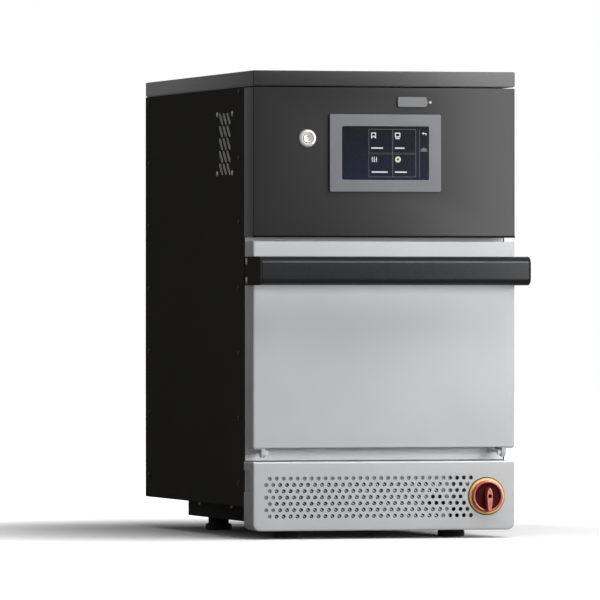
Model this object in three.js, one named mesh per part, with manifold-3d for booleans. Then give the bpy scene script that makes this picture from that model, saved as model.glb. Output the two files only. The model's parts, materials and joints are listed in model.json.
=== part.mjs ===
// A countertop high-speed oven: a tall housing with a full-width drop-down door, a touch
// control fascia above it and a pull-off perforated air filter panel below it.
// Millimetres. X runs to the right, Y from the door to the back, Z up from the floor.
import * as THREE from 'three';
import { mergeVertices } from 'three/addons/utils/BufferGeometryUtils.js';
import Module from 'manifold-3d';

const wasm = await Module();
wasm.setup();

// Housing
const bodyWidth = 360;
const bodyDepth = 600;
const sheet = 1.5;
const seat = 0.3; // gap that two touching pieces keep
const overrun = 2; // length of a cut past the face that it goes through
const frameFace = 50; // depth of the front frame behind the door's face
const sideBottom = 42.4;
const sideFlange = 12;
const coverHeight = 19;
const coverGroove = 1.5;
const lipThickness = 2.5;
const lipHeight = 4;

// Feet and the intake tray under the housing
const footHeight = 19.5;
const footRadius = 18;
const footTopRadius = 14;
const footSoleHeight = 8;
const footInset = 65;
const footFrontDepth = 82;
const footRearInset = 158; // from the back of the housing
const trayInset = 27;
const trayRearInset = 130;
const trayCorner = 8;
const ventSlotLength = 60;
const ventSlotWidth = 5;
const ventSlotPitch = 20;
const ventSlotRows = 6;

// Fan grille and rivets in the left side
const grilleDepth = 150.7; // centre behind the door's face
const grilleBelowTop = 74.1; // centre below the top of the fascia
const grilleRadius = 46;
const grilleSlotLength = 23;
const grilleSlotWidth = 5.4;
const grilleColumnPitch = 20.3;
const grilleRowPitch = 16.8;
const grilleSlotAngle = (41 / 180) * Math.PI;

// Rear panel
const rearSlotLength = 34;
const rearSlotWidth = 4;
const rearSlotPitch = 9;
const rearSlotRows = 5;
const rearSlotColumns = 3;
const rearSlotColumnPitch = 46;
const rearVentBelowTop = 79.5;
const rearLowVentHeight = 110;
const glandInset = 60; // from the right side
const glandHeight = 90;
const glandReach = 20;
const glandNutRadius = 13;
const glandBarrelRadius = 9.5;
const glandBoreRadius = 6;
const glandNutLength = 6;
const glandTail = 10;

// Control fascia
const fasciaHeight = 199.5;
const fasciaGap = 6; // between the door and the fascia
const fasciaSideDepth = 48;
const fasciaEdge = 1.5;
const bezelWidth = 153;
const bezelHeight = 102.8;
const bezelBelowTop = 88.2; // centre below the top of the fascia
const bezelProud = 4.5;
const bezelCorner = 2;
const screenWidth = 119.5;
const screenHeight = 71.3;
const screenRecess = 1;
const moduleWidth = 136;
const moduleHeight = 88;
const moduleDepth = 26;
const powerBezelGap = 29.5; // from the bezel's left edge to the button's centre
const powerBelowTop = 69.1;
const powerRingRadius = 12;
const powerRingProud = 3;
const powerRingBevel = 1.4;
const powerBarrelRadius = 9.2;
const powerBarrelLength = 22;
const powerCapRadius = 6;
const powerCapDish = 0.8;
const powerCapLength = 9;
const powerTravel = 2;
const powerBoreDepth = 14;

// USB port, its cover and the cover's tether
const usbCoverLeft = 17.2;
const usbCoverRight = 57;
const usbCoverBelowTop = 13.6;
const usbCoverHeight = 13.3;
const usbCoverProud = 3.5;
const usbCoverCorner = 2.5;
const usbNeckHeight = 6;
const usbNeckThickness = 1;
const usbNeckLength = 1.9;
const usbNeckGap = 1.2;
const tetherLength = 5;
const tetherNubRadius = 1.45;
const tetherNubHeight = 0.9;
const usbPortAcross = 36;
const usbPortWidth = 13;
const usbPortHeight = 5.2;
const usbPortDepth = 12;
const usbBodyWidth = 30;
const usbBodyHeight = 9.6;
const usbBodyDepth = 20;

// Oven cavity
const cavitySide = 30; // from the housing's side to the cavity
const cavityHeight = 190;
const cavityRearGap = 245; // behind the cavity, to the back of the housing
const cavityCorner = 6;
const serviceMargin = 20; // around the frame's window behind the fascia
const linerWall = 1.2;
const insulationThickness = 25.5;
const railReach = 9;
const railThickness = 2;
const railRise = 8; // from the cavity's floor
const plateThickness = 9;
const plateSideGap = 3;
const plateFront = 62;
const plateRearGap = 11;
const plateCorner = 12;
const jetPlateDrop = 10;
const jetPlateThickness = 1.2;
const jetPlateFront = 62;
const jetPlateRearGap = 15;
const jetPlateInset = 6;
const jetHoleRadius = 7;
const jetRows = 5;
const jetColumns = 6;
const jetMargin = 34; // from the plate's edge to the first row

// Hot air fan behind the cavity
const airPortShare = 0.78; // of half the cavity's height, as are the next shares
const fanCoverShare = 0.885;
const heaterShare = 0.905;
const impellerShare = 0.737;
const fanCoverThickness = 1.5;
const fanCoverProud = 6;
const fanCoverHoleRadius = 4.6;
const fanCoverRings = 3;
const fanCoverFirstCount = 6;
const fanCoverCountStep = 5;
const fanCoverHoleSides = 6;
const fanCoverFirstShare = 0.24; // of the cover's radius
const fanCoverRingShare = 0.19;
const plenumDepth = 44;
const plenumBoreRadius = 8;
const heaterTube = 4;
const heaterSteps = 24;
const heaterGap = Math.PI / 14; // half the angle that the element leaves open
const impellerDepth = 26;
const impellerPlate = 1.6;
const impellerHubRadius = 12;
const impellerBlade = 1.5;
const impellerBladeShare = 0.57; // of the impeller's radius
const impellerBladeLean = (28 / 180) * Math.PI;
const impellerBlades = 10;
const shaftRadius = 4;
const shaftClearance = 0.3;
const shaftReach = 10;
const motorRadius = 36;
const motorLength = 62;
const motorStandoff = 4;
const motorCapRadius = 24;
const motorCapLength = 8;

// Microwave supply
const guideWidth = 86;
const guideHeight = 30;
const guideFront = 180;
const guideRearInset = 90;
const guideWall = 1.5;
const magnetronWidth = 88;
const magnetronDepth = 76;
const magnetronHeight = 78;
const magnetronFins = 7;
const magnetronFin = 2;
const magnetronCoreShare = 0.62;
const antennaRadius = 9;
const antennaLength = 14;
const transformerWidth = 104;
const transformerDepth = 84;
const transformerHeight = 88;
const transformerInset = 90; // from the left side
const transformerRearInset = 66;
const windingShare = 0.56;
const windingReach = 14;
const capacitorRadius = 27;
const capacitorHeight = 96;
const capacitorAcross = 40;
const capacitorRearInset = 100;
const terminalRadius = 4;
const terminalHeight = 9;
const boardLength = 190;
const boardHeight = 120;
const boardThickness = 1.6;
const boardStandoff = 8;
const boardStandoffRadius = 4;
const boardMargin = 12;
const boardFront = 120;
const boardBelowTop = 39.5;
const heatSinkDepth = 26;
const heatSinkWidth = 70;
const heatSinkHeight = 50;
const heatSinkFins = 6;
const heatSinkFinShare = 0.45;

// Cooling fan on the left side
const coolerSize = 92;
const coolerDepth = 25;
const coolerBore = 43;
const coolerRim = 3;
const coolerRunningGap = 1.5;
const coolerHubRadius = 17;
const coolerHubGap = 0.3;
const coolerSpindleRadius = 3;
const coolerArms = 4;
const coolerArm = 6;
const coolerArmThickness = 3;
const coolerBlades = 7;
const coolerBlade = 1.6;
const coolerBladeLean = (38 / 180) * Math.PI;
const coolerBladeDepth = 15;

// Door
const doorGap = 18.6; // between the filter panel and the door
const doorBelowCavity = 34;
const doorAboveCavity = 49;
const doorDepth = 44;
const doorEdge = 3;
const coreDepth = 28;
const innerPanelWall = 1.2;
const chokeOuterInset = 8;
const chokeWidth = 9;
const chokeDepth = 8;
const plugProud = 3.5;
const plugInset = 4;
const plugCorner = 6;
const gasketWidth = 7;
const gasketOverlap = 3;
const latchInset = 15;
const latchAboveCavity = 35;
const latchThickness = 4;
const latchTall = 8;
const latchReach = 12;
const latchLip = 3;
const latchSlotSide = 2.5;
const latchSlotUp = 5;
const latchSlotDown = 2.5;

// Hinge at the door's foot
const hingeDepth = 8;
const hingeBelowDoor = 7;
const hingePinRadius = 3;
const hingeEyeRadius = 6;
const hingeClearance = 0.3;
const bracketThickness = 4;
const bracketInset = 22; // from the side to the bracket's inner face
const lugThickness = 6;
const lugFlangeWidth = 10;
const lugFlangeThickness = 1.5;
const lugLength = 26;

// Handle
const handleBelowTop = 20; // below the door's top edge
const handleHeight = 38;
const handleReach = 58;
const handleThickness = 22;
const handleOverhang = 6;
const handleFlat = 19.5;
const handleCurveDepth = 14;
const armPlate = 3;
const armRear = 25;
const armCorner = 5;

// Filter panel
const panelBottom = 11;
const panelHeight = 91.4;
const panelDepth = 49.5;
const panelCorner = 10;
const panelEdge = 2.5;
const holeRadius = 2.6;
const holePitch = 9.54;
const holeRowPitch = 8.33;
const holeBelowTop = 22; // from the panel's top edge to the first row
const holeFirst = 17.6; // from the left edge of the panel
const holeRightMargin = 58;
const holeRows = 7;
const holeSides = 6;
const blankRadius = 28;
const notchDepth = 5;
const notchBelowTop = 11.4;
const notchHeight = 29;
const filterLeft = 9;
const filterRightInset = 114;
const filterInset = 6;
const filterDepth = 8;
const filterRim = 5;
const filterPadDrop = 1.6;
const filterRibs = 9;
const filterRib = 1.6;
const filterRibHeight = 1;

// Rotary main switch
const switchInset = 39.7; // from the right side
const switchRise = 44.7; // above the panel's bottom edge
const switchPlateRadius = 24;
const switchPlateProud = 3;
const switchPanelGap = 1.4;
const switchBracketFront = 8;
const switchBracketWidth = 54;
const switchBracketHeight = 54;
const switchBodySize = 46;
const switchBodyDepth = 33;
const switchTerminal = 8;
const switchTerminalPitch = 12.8;
const knobRadius = 21;
const knobRimHeight = 6;
const knobDishRadius = 17.75;
const knobDishDepth = 3.2;
const knobLeverWidth = 8.2;
const knobLeverFootWidth = 4.3;
const knobLeverFoot = 20.2; // from the knob's centre down to the lever's foot
const knobLeverTip = 11.6; // and up to its point
const knobLeverProud = 18;
const knobLeverShoulder = 3.4; // where the lever is widest, above and below the centre
const knobLeverNeck = 8.4; // where its point starts to narrow fast
const knobLeverNeckShare = 0.64; // of its width
const knobPadlockRadius = 2.4;
const knobShaftRadius = 4;
const knobShaftDepth = 10;

// Counts that set how round a shape is
const fineSides = 28;
const roundSides = 18;
const smallSides = 12;
const cornerSteps = 1;
const panSteps = 2;

// Heights stack up from the filter panel to the top cover
const panelTop = panelBottom + panelHeight;
const doorBottom = panelTop + doorGap;
const cavityFloor = doorBottom + doorBelowCavity;
const cavityCeiling = cavityFloor + cavityHeight;
const doorTop = cavityCeiling + doorAboveCavity;
const fasciaBottom = doorTop + fasciaGap;
const sideTop = fasciaBottom + fasciaHeight;
const bodyHeight = sideTop + coverGroove + coverHeight;
const insulationBottom = cavityFloor - insulationThickness;
const insulationTop = cavityCeiling + insulationThickness;
const railHeight = cavityFloor + railRise;
const latchHeight = cavityCeiling + latchAboveCavity;
const hingeHeight = doorBottom - hingeBelowDoor;
const handleTop = doorTop - handleBelowTop;
const handleBottom = handleTop - handleHeight;
const bezelCentre = sideTop - bezelBelowTop;
const powerHeight = sideTop - powerBelowTop;
const usbCoverTop = sideTop - usbCoverBelowTop;
const usbCoverBottom = usbCoverTop - usbCoverHeight;
const grilleHeight = sideTop - grilleBelowTop;
const rearVentHeight = sideTop - rearVentBelowTop;
const boardBottom = sideTop - boardBelowTop - boardHeight;
const holeTopRow = panelTop - holeBelowTop;
const notchTop = panelTop - notchBelowTop;
const notchBottom = notchTop - notchHeight;
const switchHeight = panelBottom + switchRise;

// Places across, from the middle
const halfWidth = bodyWidth / 2;
const halfCavity = halfWidth - cavitySide;
const glandAcross = halfWidth - glandInset;
const transformerAcross = halfWidth - transformerInset;
const powerAcross = bezelWidth / 2 + powerBezelGap;
const latchAcross = halfWidth - latchInset;
const bracketInner = halfWidth - bracketInset;
const switchAcross = halfWidth - switchInset;

// Depths behind the door's face
const cavityRear = bodyDepth - cavityRearGap;
const footRearDepth = bodyDepth - footRearInset;
const trayRear = bodyDepth - trayRearInset;
const plateRear = cavityRear - plateRearGap;
const jetPlateRear = cavityRear - jetPlateRearGap;
const guideRear = bodyDepth - guideRearInset;
const transformerFront = bodyDepth - transformerRearInset - transformerDepth;
const capacitorDepth = bodyDepth - capacitorRearInset;

// The hot air fan follows the cavity's height
const airFanHeight = (cavityFloor + cavityCeiling) / 2;
const airPortRadius = (cavityHeight / 2) * airPortShare;
const fanCoverRadius = (cavityHeight / 2) * fanCoverShare;
const heaterRadius = (cavityHeight / 2) * heaterShare;
const impellerRadius = (cavityHeight / 2) * impellerShare;
const impellerBladeLength = impellerRadius * impellerBladeShare;

const innerHalf = halfWidth - sheet - seat;
const frameBack = frameFace + sheet;
const baseUnder = sideBottom + sheet + seat;
const flangeTop = sideTop - sheet - seat;
const linerHalf = halfCavity + linerWall;
const linerFront = frameBack + seat;

const xAxis = new THREE.Vector3(1, 0, 0);
const yAxis = new THREE.Vector3(0, 1, 0);
const zAxis = new THREE.Vector3(0, 0, 1);
const sideways = new THREE.Matrix4().makeBasis(yAxis, zAxis, xAxis);
const upright = new THREE.Matrix4().makeBasis(xAxis, zAxis, yAxis.clone().negate());

// A closed geometry as a solid, with the slivers at a lathe's poles left out
function solid(geometry) {
  geometry.deleteAttribute('normal');
  geometry.deleteAttribute('uv');
  const merged = mergeVertices(geometry);
  const corners = merged.index.array;
  const kept = [];
  for (let i = 0; i < corners.length; i += 3) {
    const triangle = [corners[i], corners[i + 1], corners[i + 2]];
    if (new Set(triangle).size === triangle.length) {
      kept.push(...triangle);
    }
  }
  const vertProperties = merged.attributes.position.array;
  const triVerts = new Uint32Array(kept);
  return new wasm.Manifold(new wasm.Mesh({ numProp: 3, vertProperties, triVerts }));
}

function box([x0, x1], [y0, y1], [z0, z1]) {
  const geometry = new THREE.BoxGeometry(x1 - x0, y1 - y0, z1 - z0);
  return solid(geometry.translate((x0 + x1) / 2, (y0 + y1) / 2, (z0 + z1) / 2));
}

// An outline in X and Z, pushed from one depth to another
function alongY(shape, from, to, steps = cornerSteps) {
  const settings = { depth: to - from, bevelEnabled: false, curveSegments: steps };
  const geometry = new THREE.ExtrudeGeometry(shape, settings);
  return solid(geometry.applyMatrix4(upright).translate(0, to, 0));
}

// An outline in Y and Z, pushed across
function alongX(shape, from, to, steps = cornerSteps) {
  const settings = { depth: to - from, bevelEnabled: false, curveSegments: steps };
  const geometry = new THREE.ExtrudeGeometry(shape, settings);
  return solid(geometry.applyMatrix4(sideways).translate(from, 0, 0));
}

// An outline in X and Y, pushed up
function alongZ(shape, from, to, steps = cornerSteps) {
  const settings = { depth: to - from, bevelEnabled: false, curveSegments: steps };
  const geometry = new THREE.ExtrudeGeometry(shape, settings);
  return solid(geometry.translate(0, 0, from));
}

// A profile of [radius, distance along the axis], turned about Y, with faces outwards
function turned(profile, sides) {
  let area = 0;
  profile.forEach(([r, s], i) => {
    const [nextR, nextS] = profile[(i + 1) % profile.length];
    area += r * nextS - nextR * s;
  });
  const points = profile.map(([r, s]) => new THREE.Vector2(r, s));
  if (area < 0) {
    points.reverse();
  }
  return solid(new THREE.LatheGeometry([...points, points[0]], sides));
}

function turnedAlongX(profile, sides) {
  const made = turned(profile, sides);
  return moved(made, new THREE.Matrix4().makeBasis(zAxis, xAxis, yAxis));
}

function turnedAlongZ(profile, sides) {
  const made = turned(profile, sides);
  return moved(made, sideways);
}

function moved(made, matrix) {
  return made.transform(matrix.toArray());
}

function shifted(made, x, y, z) {
  return moved(made, new THREE.Matrix4().makeTranslation(x, y, z));
}

// A closed outline through the given points
function outline(points) {
  return new THREE.Shape(points.map(([a, b]) => new THREE.Vector2(a, b)));
}

function rounded([a0, a1], [b0, b1], radius) {
  const shape = new THREE.Shape();
  shape.moveTo(a0 + radius, b0);
  shape.absarc(a1 - radius, b0 + radius, radius, -Math.PI / 2, 0);
  shape.absarc(a1 - radius, b1 - radius, radius, 0, Math.PI / 2);
  shape.absarc(a0 + radius, b1 - radius, radius, Math.PI / 2, Math.PI);
  shape.absarc(a0 + radius, b0 + radius, radius, Math.PI, 1.5 * Math.PI);
  shape.closePath();
  return shape;
}

// A regular polygon hole or disc
function polygon(a, b, radius, sides) {
  const points = [];
  for (let i = 0; i < sides; i++) {
    const turn = ((i + 0.5) / sides) * 2 * Math.PI;
    points.push([a + radius * Math.cos(turn), b + radius * Math.sin(turn)]);
  }
  return outline(points);
}

// A polygon whose flats keep clear of a round piece of the given radius
function clearing(a, b, radius, sides) {
  return polygon(a, b, radius / Math.cos(Math.PI / sides), sides);
}

// A slot with pointed-round ends, leaning by an angle
function slot(a, b, length, width, angle = 0) {
  const run = length / 2;
  const half = width / 2;
  const corners = [
    [-run, 0],
    [-run + half, -half],
    [run - half, -half],
    [run, 0],
    [run - half, half],
    [-run + half, half],
  ];
  const cos = Math.cos(angle);
  const sin = Math.sin(angle);
  return outline(corners.map(([p, q]) => [a + p * cos - q * sin, b + p * sin + q * cos]));
}

// A pan with rounded front edges, open to the back: x and z ranges, depth and edge radius
function frontPan(x, z, depth, edge, front, hollow) {
  const plan = new THREE.Shape();
  plan.moveTo(x[0], depth);
  plan.lineTo(x[0], edge);
  plan.absarc(x[0] + edge, edge, edge, Math.PI, 1.5 * Math.PI);
  plan.absarc(x[1] - edge, edge, edge, -Math.PI / 2, 0);
  plan.lineTo(x[1], depth);
  plan.closePath();
  const block = alongZ(plan, z[0] - overrun, z[1] + overrun, panSteps);
  const faced = alongY(front, -overrun, depth + overrun, panSteps).intersect(block);
  return faced.subtract(alongY(hollow, sheet, depth + overrun, panSteps));
}

const root = new THREE.Group();
const model = new THREE.Group();
root.add(model);

function finish(color, roughness, metalness) {
  return new THREE.MeshStandardMaterial({ color, roughness, metalness, flatShading: true });
}

const darkPaint = () => finish(0x1c1b1a, 0.5, 0.3);
const anthracite = () => finish(0x3a3a3b, 0.45, 0.3);
const silverPaint = () => finish(0xb6b8ba, 0.5, 0.3);
const handlePaint = () => finish(0x26272a, 0.4, 0.2);
const steel = () => finish(0x9a9b9c, 0.35, 0.9);
const zinc = () => finish(0xa4a6a4, 0.45, 0.85);
const rubber = () => finish(0x1d1d1e, 0.85, 0);
const greyRubber = () => finish(0x858889, 0.75, 0);
const wool = () => finish(0xc9c2ae, 0.95, 0);

// Adds a solid to a group as a named mesh
function add(group, name, made, material) {
  const { vertProperties, triVerts } = made.getMesh();
  const geometry = new THREE.BufferGeometry();
  geometry.setAttribute('position', new THREE.BufferAttribute(vertProperties, 3));
  geometry.setIndex(new THREE.BufferAttribute(triVerts, 1));
  geometry.computeVertexNormals();
  const mesh = new THREE.Mesh(geometry, material);
  mesh.name = name;
  group.add(mesh);
  return mesh;
}

const mirrored = new THREE.Matrix4().makeScale(-1, 1, 1);

// The same piece on both sides: the given solid lies on the right
function addPair(group, name, made, finishOf) {
  add(group, `right_${name}`, made, finishOf());
  add(group, `left_${name}`, moved(made, mirrored), finishOf());
}

// Chassis under the housing
function chassis(group) {
  const y = [frameBack + seat, bodyDepth - sheet - seat];
  let base = box([-innerHalf, innerHalf], y, [baseUnder, baseUnder + sheet]);
  for (let i = 0; i < ventSlotRows; i++) {
    const depth = footFrontDepth + footRadius + (i + 1) * ventSlotPitch;
    for (const side of [-1, 1]) {
      const hole = slot(side * ventSlotLength, depth, ventSlotLength, ventSlotWidth);
      base = base.subtract(alongZ(hole, baseUnder - overrun, baseUnder + sheet + overrun));
    }
  }
  add(group, 'base_plate', base, zinc());

  const trayHalf = halfWidth - trayInset;
  const floor = footHeight + seat;
  const top = baseUnder - seat;
  const outer = rounded([-trayHalf, trayHalf], [frameBack, trayRear], trayCorner);
  const inner = rounded(
    [-trayHalf + sheet, trayHalf - sheet],
    [frameBack - trayCorner * 2, trayRear - sheet],
    trayCorner - sheet,
  );
  const tray = alongZ(outer, floor, top).subtract(alongZ(inner, floor + sheet, top + overrun));
  add(group, 'air_intake_tray', tray, darkPaint());

  const profile = [
    [0, 0],
    [footRadius - sheet, 0],
    [footRadius, sheet],
    [footRadius, footSoleHeight],
    [footTopRadius, footSoleHeight + sheet],
    [footTopRadius, footHeight],
    [0, footHeight],
  ];
  const foot = turnedAlongZ(profile, roundSides);
  const across = halfWidth - footInset;
  for (const [row, depth] of [['front', footFrontDepth], ['rear', footRearDepth]]) {
    for (const [side, sign] of [['left', -1], ['right', 1]]) {
      const mesh = add(group, `${row}_${side}_foot`, foot, rubber());
      mesh.position.set(sign * across, depth, 0);
    }
  }
}

// Side, rear and top sheets of the housing
function enclosure(group) {
  const flange = halfWidth - sideFlange;
  const web = halfWidth - sheet;
  const section = outline([
    [flange, sideBottom],
    [halfWidth, sideBottom],
    [halfWidth, sideTop],
    [flange, sideTop],
    [flange, sideTop - sheet],
    [web, sideTop - sheet],
    [web, sideBottom + sheet],
    [flange, sideBottom + sheet],
  ]);
  const panel = alongY(section, frameFace, bodyDepth);
  add(group, 'right_side_panel', panel, darkPaint());
  add(group, 'left_side_panel', withFanGrille(moved(panel, mirrored)), darkPaint());

  const lowest = baseUnder;
  const rear = outline([
    [-innerHalf, lowest],
    [innerHalf, lowest],
    [innerHalf, flangeTop],
    [-innerHalf, flangeTop],
  ]);
  for (let row = 0; row < rearSlotRows; row++) {
    for (let column = 0; column < rearSlotColumns; column++) {
      const x = (column - (rearSlotColumns - 1) / 2) * rearSlotColumnPitch;
      const rise = (row - (rearSlotRows - 1) / 2) * rearSlotPitch;
      rear.holes.push(slot(x, rearVentHeight + rise, rearSlotLength, rearSlotWidth));
      rear.holes.push(slot(x, rearLowVentHeight + rise, rearSlotLength, rearSlotWidth));
    }
  }
  const glandHole = glandBarrelRadius + seat;
  rear.holes.push(clearing(glandAcross, glandHeight, glandHole, smallSides));
  add(group, 'rear_panel', alongY(rear, bodyDepth - sheet, bodyDepth), zinc());

  const coverBottom = bodyHeight - coverHeight;
  const full = [-halfWidth, halfWidth];
  const inside = [-halfWidth + sheet, halfWidth - sheet];
  const depths = [0, bodyDepth];
  const innerDepths = [sheet, bodyDepth - sheet];
  const hollow = box(inside, innerDepths, [coverBottom - overrun, bodyHeight - sheet]);
  const pan = box(full, depths, [coverBottom, bodyHeight]).subtract(hollow);
  const lipBottom = sideTop + seat;
  const lipTop = lipBottom + lipHeight;
  const lipInside = [inside[0] + lipThickness, inside[1] - lipThickness];
  const lipDepths = [innerDepths[0] + lipThickness, innerDepths[1] - lipThickness];
  const lip = box(inside, innerDepths, [lipBottom, lipTop]);
  const lipHollow = box(lipInside, lipDepths, [lipBottom - overrun, lipTop + overrun]);
  add(group, 'top_cover', pan.add(lip.subtract(lipHollow)), anthracite());
}

// Slots leaning down towards the front, in staggered rows inside a circle
function withFanGrille(panel) {
  let cut = panel;
  const reach = Math.ceil(grilleRadius / grilleRowPitch);
  for (let row = -reach; row <= reach; row++) {
    for (let column = -reach; column <= reach; column++) {
      const y = column * grilleColumnPitch;
      const z = row * grilleRowPitch;
      if (Math.hypot(y, z) + grilleSlotLength / 2 - grilleSlotWidth > grilleRadius) {
        continue;
      }
      const hole = slot(
        grilleDepth + y,
        grilleHeight + z,
        grilleSlotLength,
        grilleSlotWidth,
        grilleSlotAngle,
      );
      const from = -halfWidth - overrun;
      const to = -halfWidth + sheet + overrun;
      cut = cut.subtract(alongX(hole, from, to));
    }
  }
  return cut;
}

// The cable gland in the rear panel
function gland(group) {
  const start = bodyDepth - sheet - glandTail;
  const nutBack = bodyDepth + seat + glandNutLength;
  const tip = bodyDepth + glandReach;
  const profile = [
    [glandBoreRadius, start],
    [glandBarrelRadius, start],
    [glandBarrelRadius, bodyDepth + seat],
    [glandNutRadius, bodyDepth + seat],
    [glandNutRadius, nutBack],
    [glandBarrelRadius, nutBack + sheet],
    [glandBarrelRadius, tip - sheet],
    [glandBarrelRadius - sheet, tip],
    [glandBoreRadius, tip],
  ];
  const mesh = add(group, 'cable_gland', turned(profile, smallSides), rubber());
  mesh.position.set(glandAcross, 0, glandHeight);
}

// The sheet behind the door and the fascia, with the cavity's mouth
function frontFrame(group) {
  const shape = outline([
    [-innerHalf, baseUnder],
    [innerHalf, baseUnder],
    [innerHalf, flangeTop],
    [-innerHalf, flangeTop],
  ]);
  const mouth = [-halfCavity, halfCavity];
  shape.holes.push(rounded(mouth, [cavityFloor, cavityCeiling], cavityCorner));
  for (const side of [-1, 1]) {
    const middle = side * latchAcross;
    const half = latchThickness / 2 + latchSlotSide;
    const bottom = latchHeight - latchTall / 2 - latchLip - latchSlotDown;
    const top = latchHeight + latchTall / 2 + latchSlotUp;
    shape.holes.push(rounded([middle - half, middle + half], [bottom, top], sheet));
  }
  const intake = [filterLeft - halfWidth + filterInset, halfWidth - filterRightInset - filterInset];
  shape.holes.push(rounded(intake, [baseUnder + filterInset, panelTop - filterInset], cavityCorner));
  const service = [-halfCavity, halfCavity];
  const serviceHeights = [fasciaBottom + serviceMargin, sideTop - serviceMargin];
  shape.holes.push(rounded(service, serviceHeights, cavityCorner));
  add(group, 'front_frame', alongY(shape, frameFace, frameBack), silverPaint());
}

// Fascia with its screen, button and port
function controlPanel(group) {
  const sides = [-halfWidth, halfWidth];
  const heights = [fasciaBottom, sideTop];
  const half = screenWidth / 2;
  const [low, high] = [bezelCentre - screenHeight / 2, bezelCentre + screenHeight / 2];
  const front = outline([
    [sides[0], heights[0]],
    [sides[1], heights[0]],
    [sides[1], heights[1]],
    [sides[0], heights[1]],
  ]);
  front.holes.push(rounded([-half, half], [low, high], bezelCorner));
  front.holes.push(clearing(-powerAcross, powerHeight, powerBarrelRadius + seat, smallSides));
  const usbCentre = (usbCoverBottom + usbCoverTop) / 2;
  const usbHalf = [usbBodyWidth / 2 + seat, usbBodyHeight / 2 + seat];
  front.holes.push(outline([
    [usbPortAcross - usbHalf[0], usbCentre - usbHalf[1]],
    [usbPortAcross + usbHalf[0], usbCentre - usbHalf[1]],
    [usbPortAcross + usbHalf[0], usbCentre + usbHalf[1]],
    [usbPortAcross - usbHalf[0], usbCentre + usbHalf[1]],
  ]));
  const hollow = outline([
    [sides[0] + sheet, heights[0] + sheet],
    [sides[1] - sheet, heights[0] + sheet],
    [sides[1] - sheet, heights[1] - sheet],
    [sides[0] + sheet, heights[1] - sheet],
  ]);
  const full = frontPan(sides, heights, frameFace - seat, fasciaEdge, front, hollow);
  let fascia = full;
  for (const side of [-1, 1]) {
    const reach = [side * (halfWidth - sheet - seat), side * (halfWidth + overrun)];
    const across = [Math.min(...reach), Math.max(...reach)];
    const short = [fasciaSideDepth, frameFace + overrun];
    fascia = fascia.subtract(box(across, short, [heights[0] - overrun, heights[1] + overrun]));
  }
  add(group, 'control_fascia', fascia, anthracite());

  const bezelHalf = [bezelWidth / 2, bezelHeight / 2];
  const frame = rounded(
    [-bezelHalf[0], bezelHalf[0]],
    [bezelCentre - bezelHalf[1], bezelCentre + bezelHalf[1]],
    bezelCorner,
  );
  frame.holes.push(rounded([-half, half], [low, high], bezelCorner));
  add(group, 'display_bezel', alongY(frame, -bezelProud, -seat), finish(0x8f9193, 0.45, 0.2));

  const glass = rounded(
    [-half + seat, half - seat],
    [low + seat, high - seat],
    bezelCorner,
  );
  const glassSolid = alongY(glass, -bezelProud + screenRecess, sheet);
  add(group, 'touch_screen', glassSolid, finish(0x1c1e26, 0.15, 0.1));
  const display = box(
    [-moduleWidth / 2, moduleWidth / 2],
    [sheet + seat, sheet + seat + moduleDepth],
    [bezelCentre - moduleHeight / 2, bezelCentre + moduleHeight / 2],
  );
  add(group, 'display_module', display, zinc());

  powerButton(group);
  usbPort(group, usbCentre);
}

// A bevelled ring with a blind bore, and the cap that travels in it
function powerButton(group) {
  const bore = powerCapRadius + seat;
  const ring = turned([
    [0, powerBoreDepth],
    [bore, powerBoreDepth],
    [bore, -powerRingProud + powerRingBevel],
    [bore + powerRingBevel, -powerRingProud],
    [powerRingRadius - powerRingBevel, -powerRingProud],
    [powerRingRadius, -powerRingProud + powerRingBevel],
    [powerRingRadius, -seat],
    [powerBarrelRadius, -seat],
    [powerBarrelRadius, powerBarrelLength],
    [0, powerBarrelLength],
  ], roundSides);
  const ringMesh = add(group, 'power_button_ring', ring, steel());
  ringMesh.position.set(-powerAcross, 0, powerHeight);

  const face = -powerRingProud + powerRingBevel / 2;
  const cap = turned([
    [0, face + powerCapDish],
    [powerCapRadius / 2, face + powerCapDish / 2],
    [powerCapRadius - seat, face],
    [powerCapRadius, face + seat],
    [powerCapRadius, face + powerCapLength],
    [0, face + powerCapLength],
  ], roundSides);
  const capMesh = add(group, 'power_button_cap', cap, steel());
  capMesh.position.copy(ringMesh.position);
}

// The port's body, the soft cover over it and the tether that the cover bends from
function usbPort(group, centre) {
  const half = usbBodyWidth / 2;
  const tall = usbBodyHeight / 2;
  const mouth = [usbPortWidth / 2, usbPortHeight / 2];
  const shell = box(
    [usbPortAcross - half, usbPortAcross + half],
    [0, usbBodyDepth],
    [centre - tall, centre + tall],
  );
  const socket = box(
    [usbPortAcross - mouth[0], usbPortAcross + mouth[0]],
    [-overrun, usbPortDepth],
    [centre - mouth[1], centre + mouth[1]],
  );
  add(group, 'usb_socket', shell.subtract(socket), finish(0x2a2a2c, 0.6, 0.1));

  const neckHalf = usbNeckHeight / 2;
  const lid = rounded([usbCoverLeft, usbCoverRight], [usbCoverBottom, usbCoverTop], usbCoverCorner);
  const neckEnd = usbCoverRight + usbNeckLength;
  const neck = box(
    [usbCoverRight - usbCoverCorner, neckEnd],
    [-seat - usbNeckThickness, -seat],
    [centre - neckHalf, centre + neckHalf],
  );
  add(group, 'usb_cover', alongY(lid, -usbCoverProud, -seat).add(neck), greyRubber());

  const start = neckEnd + usbNeckGap;
  const strap = box(
    [start, start + tetherLength],
    [-seat - usbNeckThickness, -seat],
    [centre - neckHalf, centre + neckHalf],
  );
  const nubProfile = [
    [0, -seat - usbNeckThickness - tetherNubHeight],
    [tetherNubRadius, -seat - usbNeckThickness - tetherNubHeight],
    [tetherNubRadius, -seat],
    [0, -seat],
  ];
  const nub = shifted(turned(nubProfile, smallSides), start + tetherLength / 2, 0, centre);
  add(group, 'usb_tether', strap.add(nub), greyRubber());
}

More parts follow.
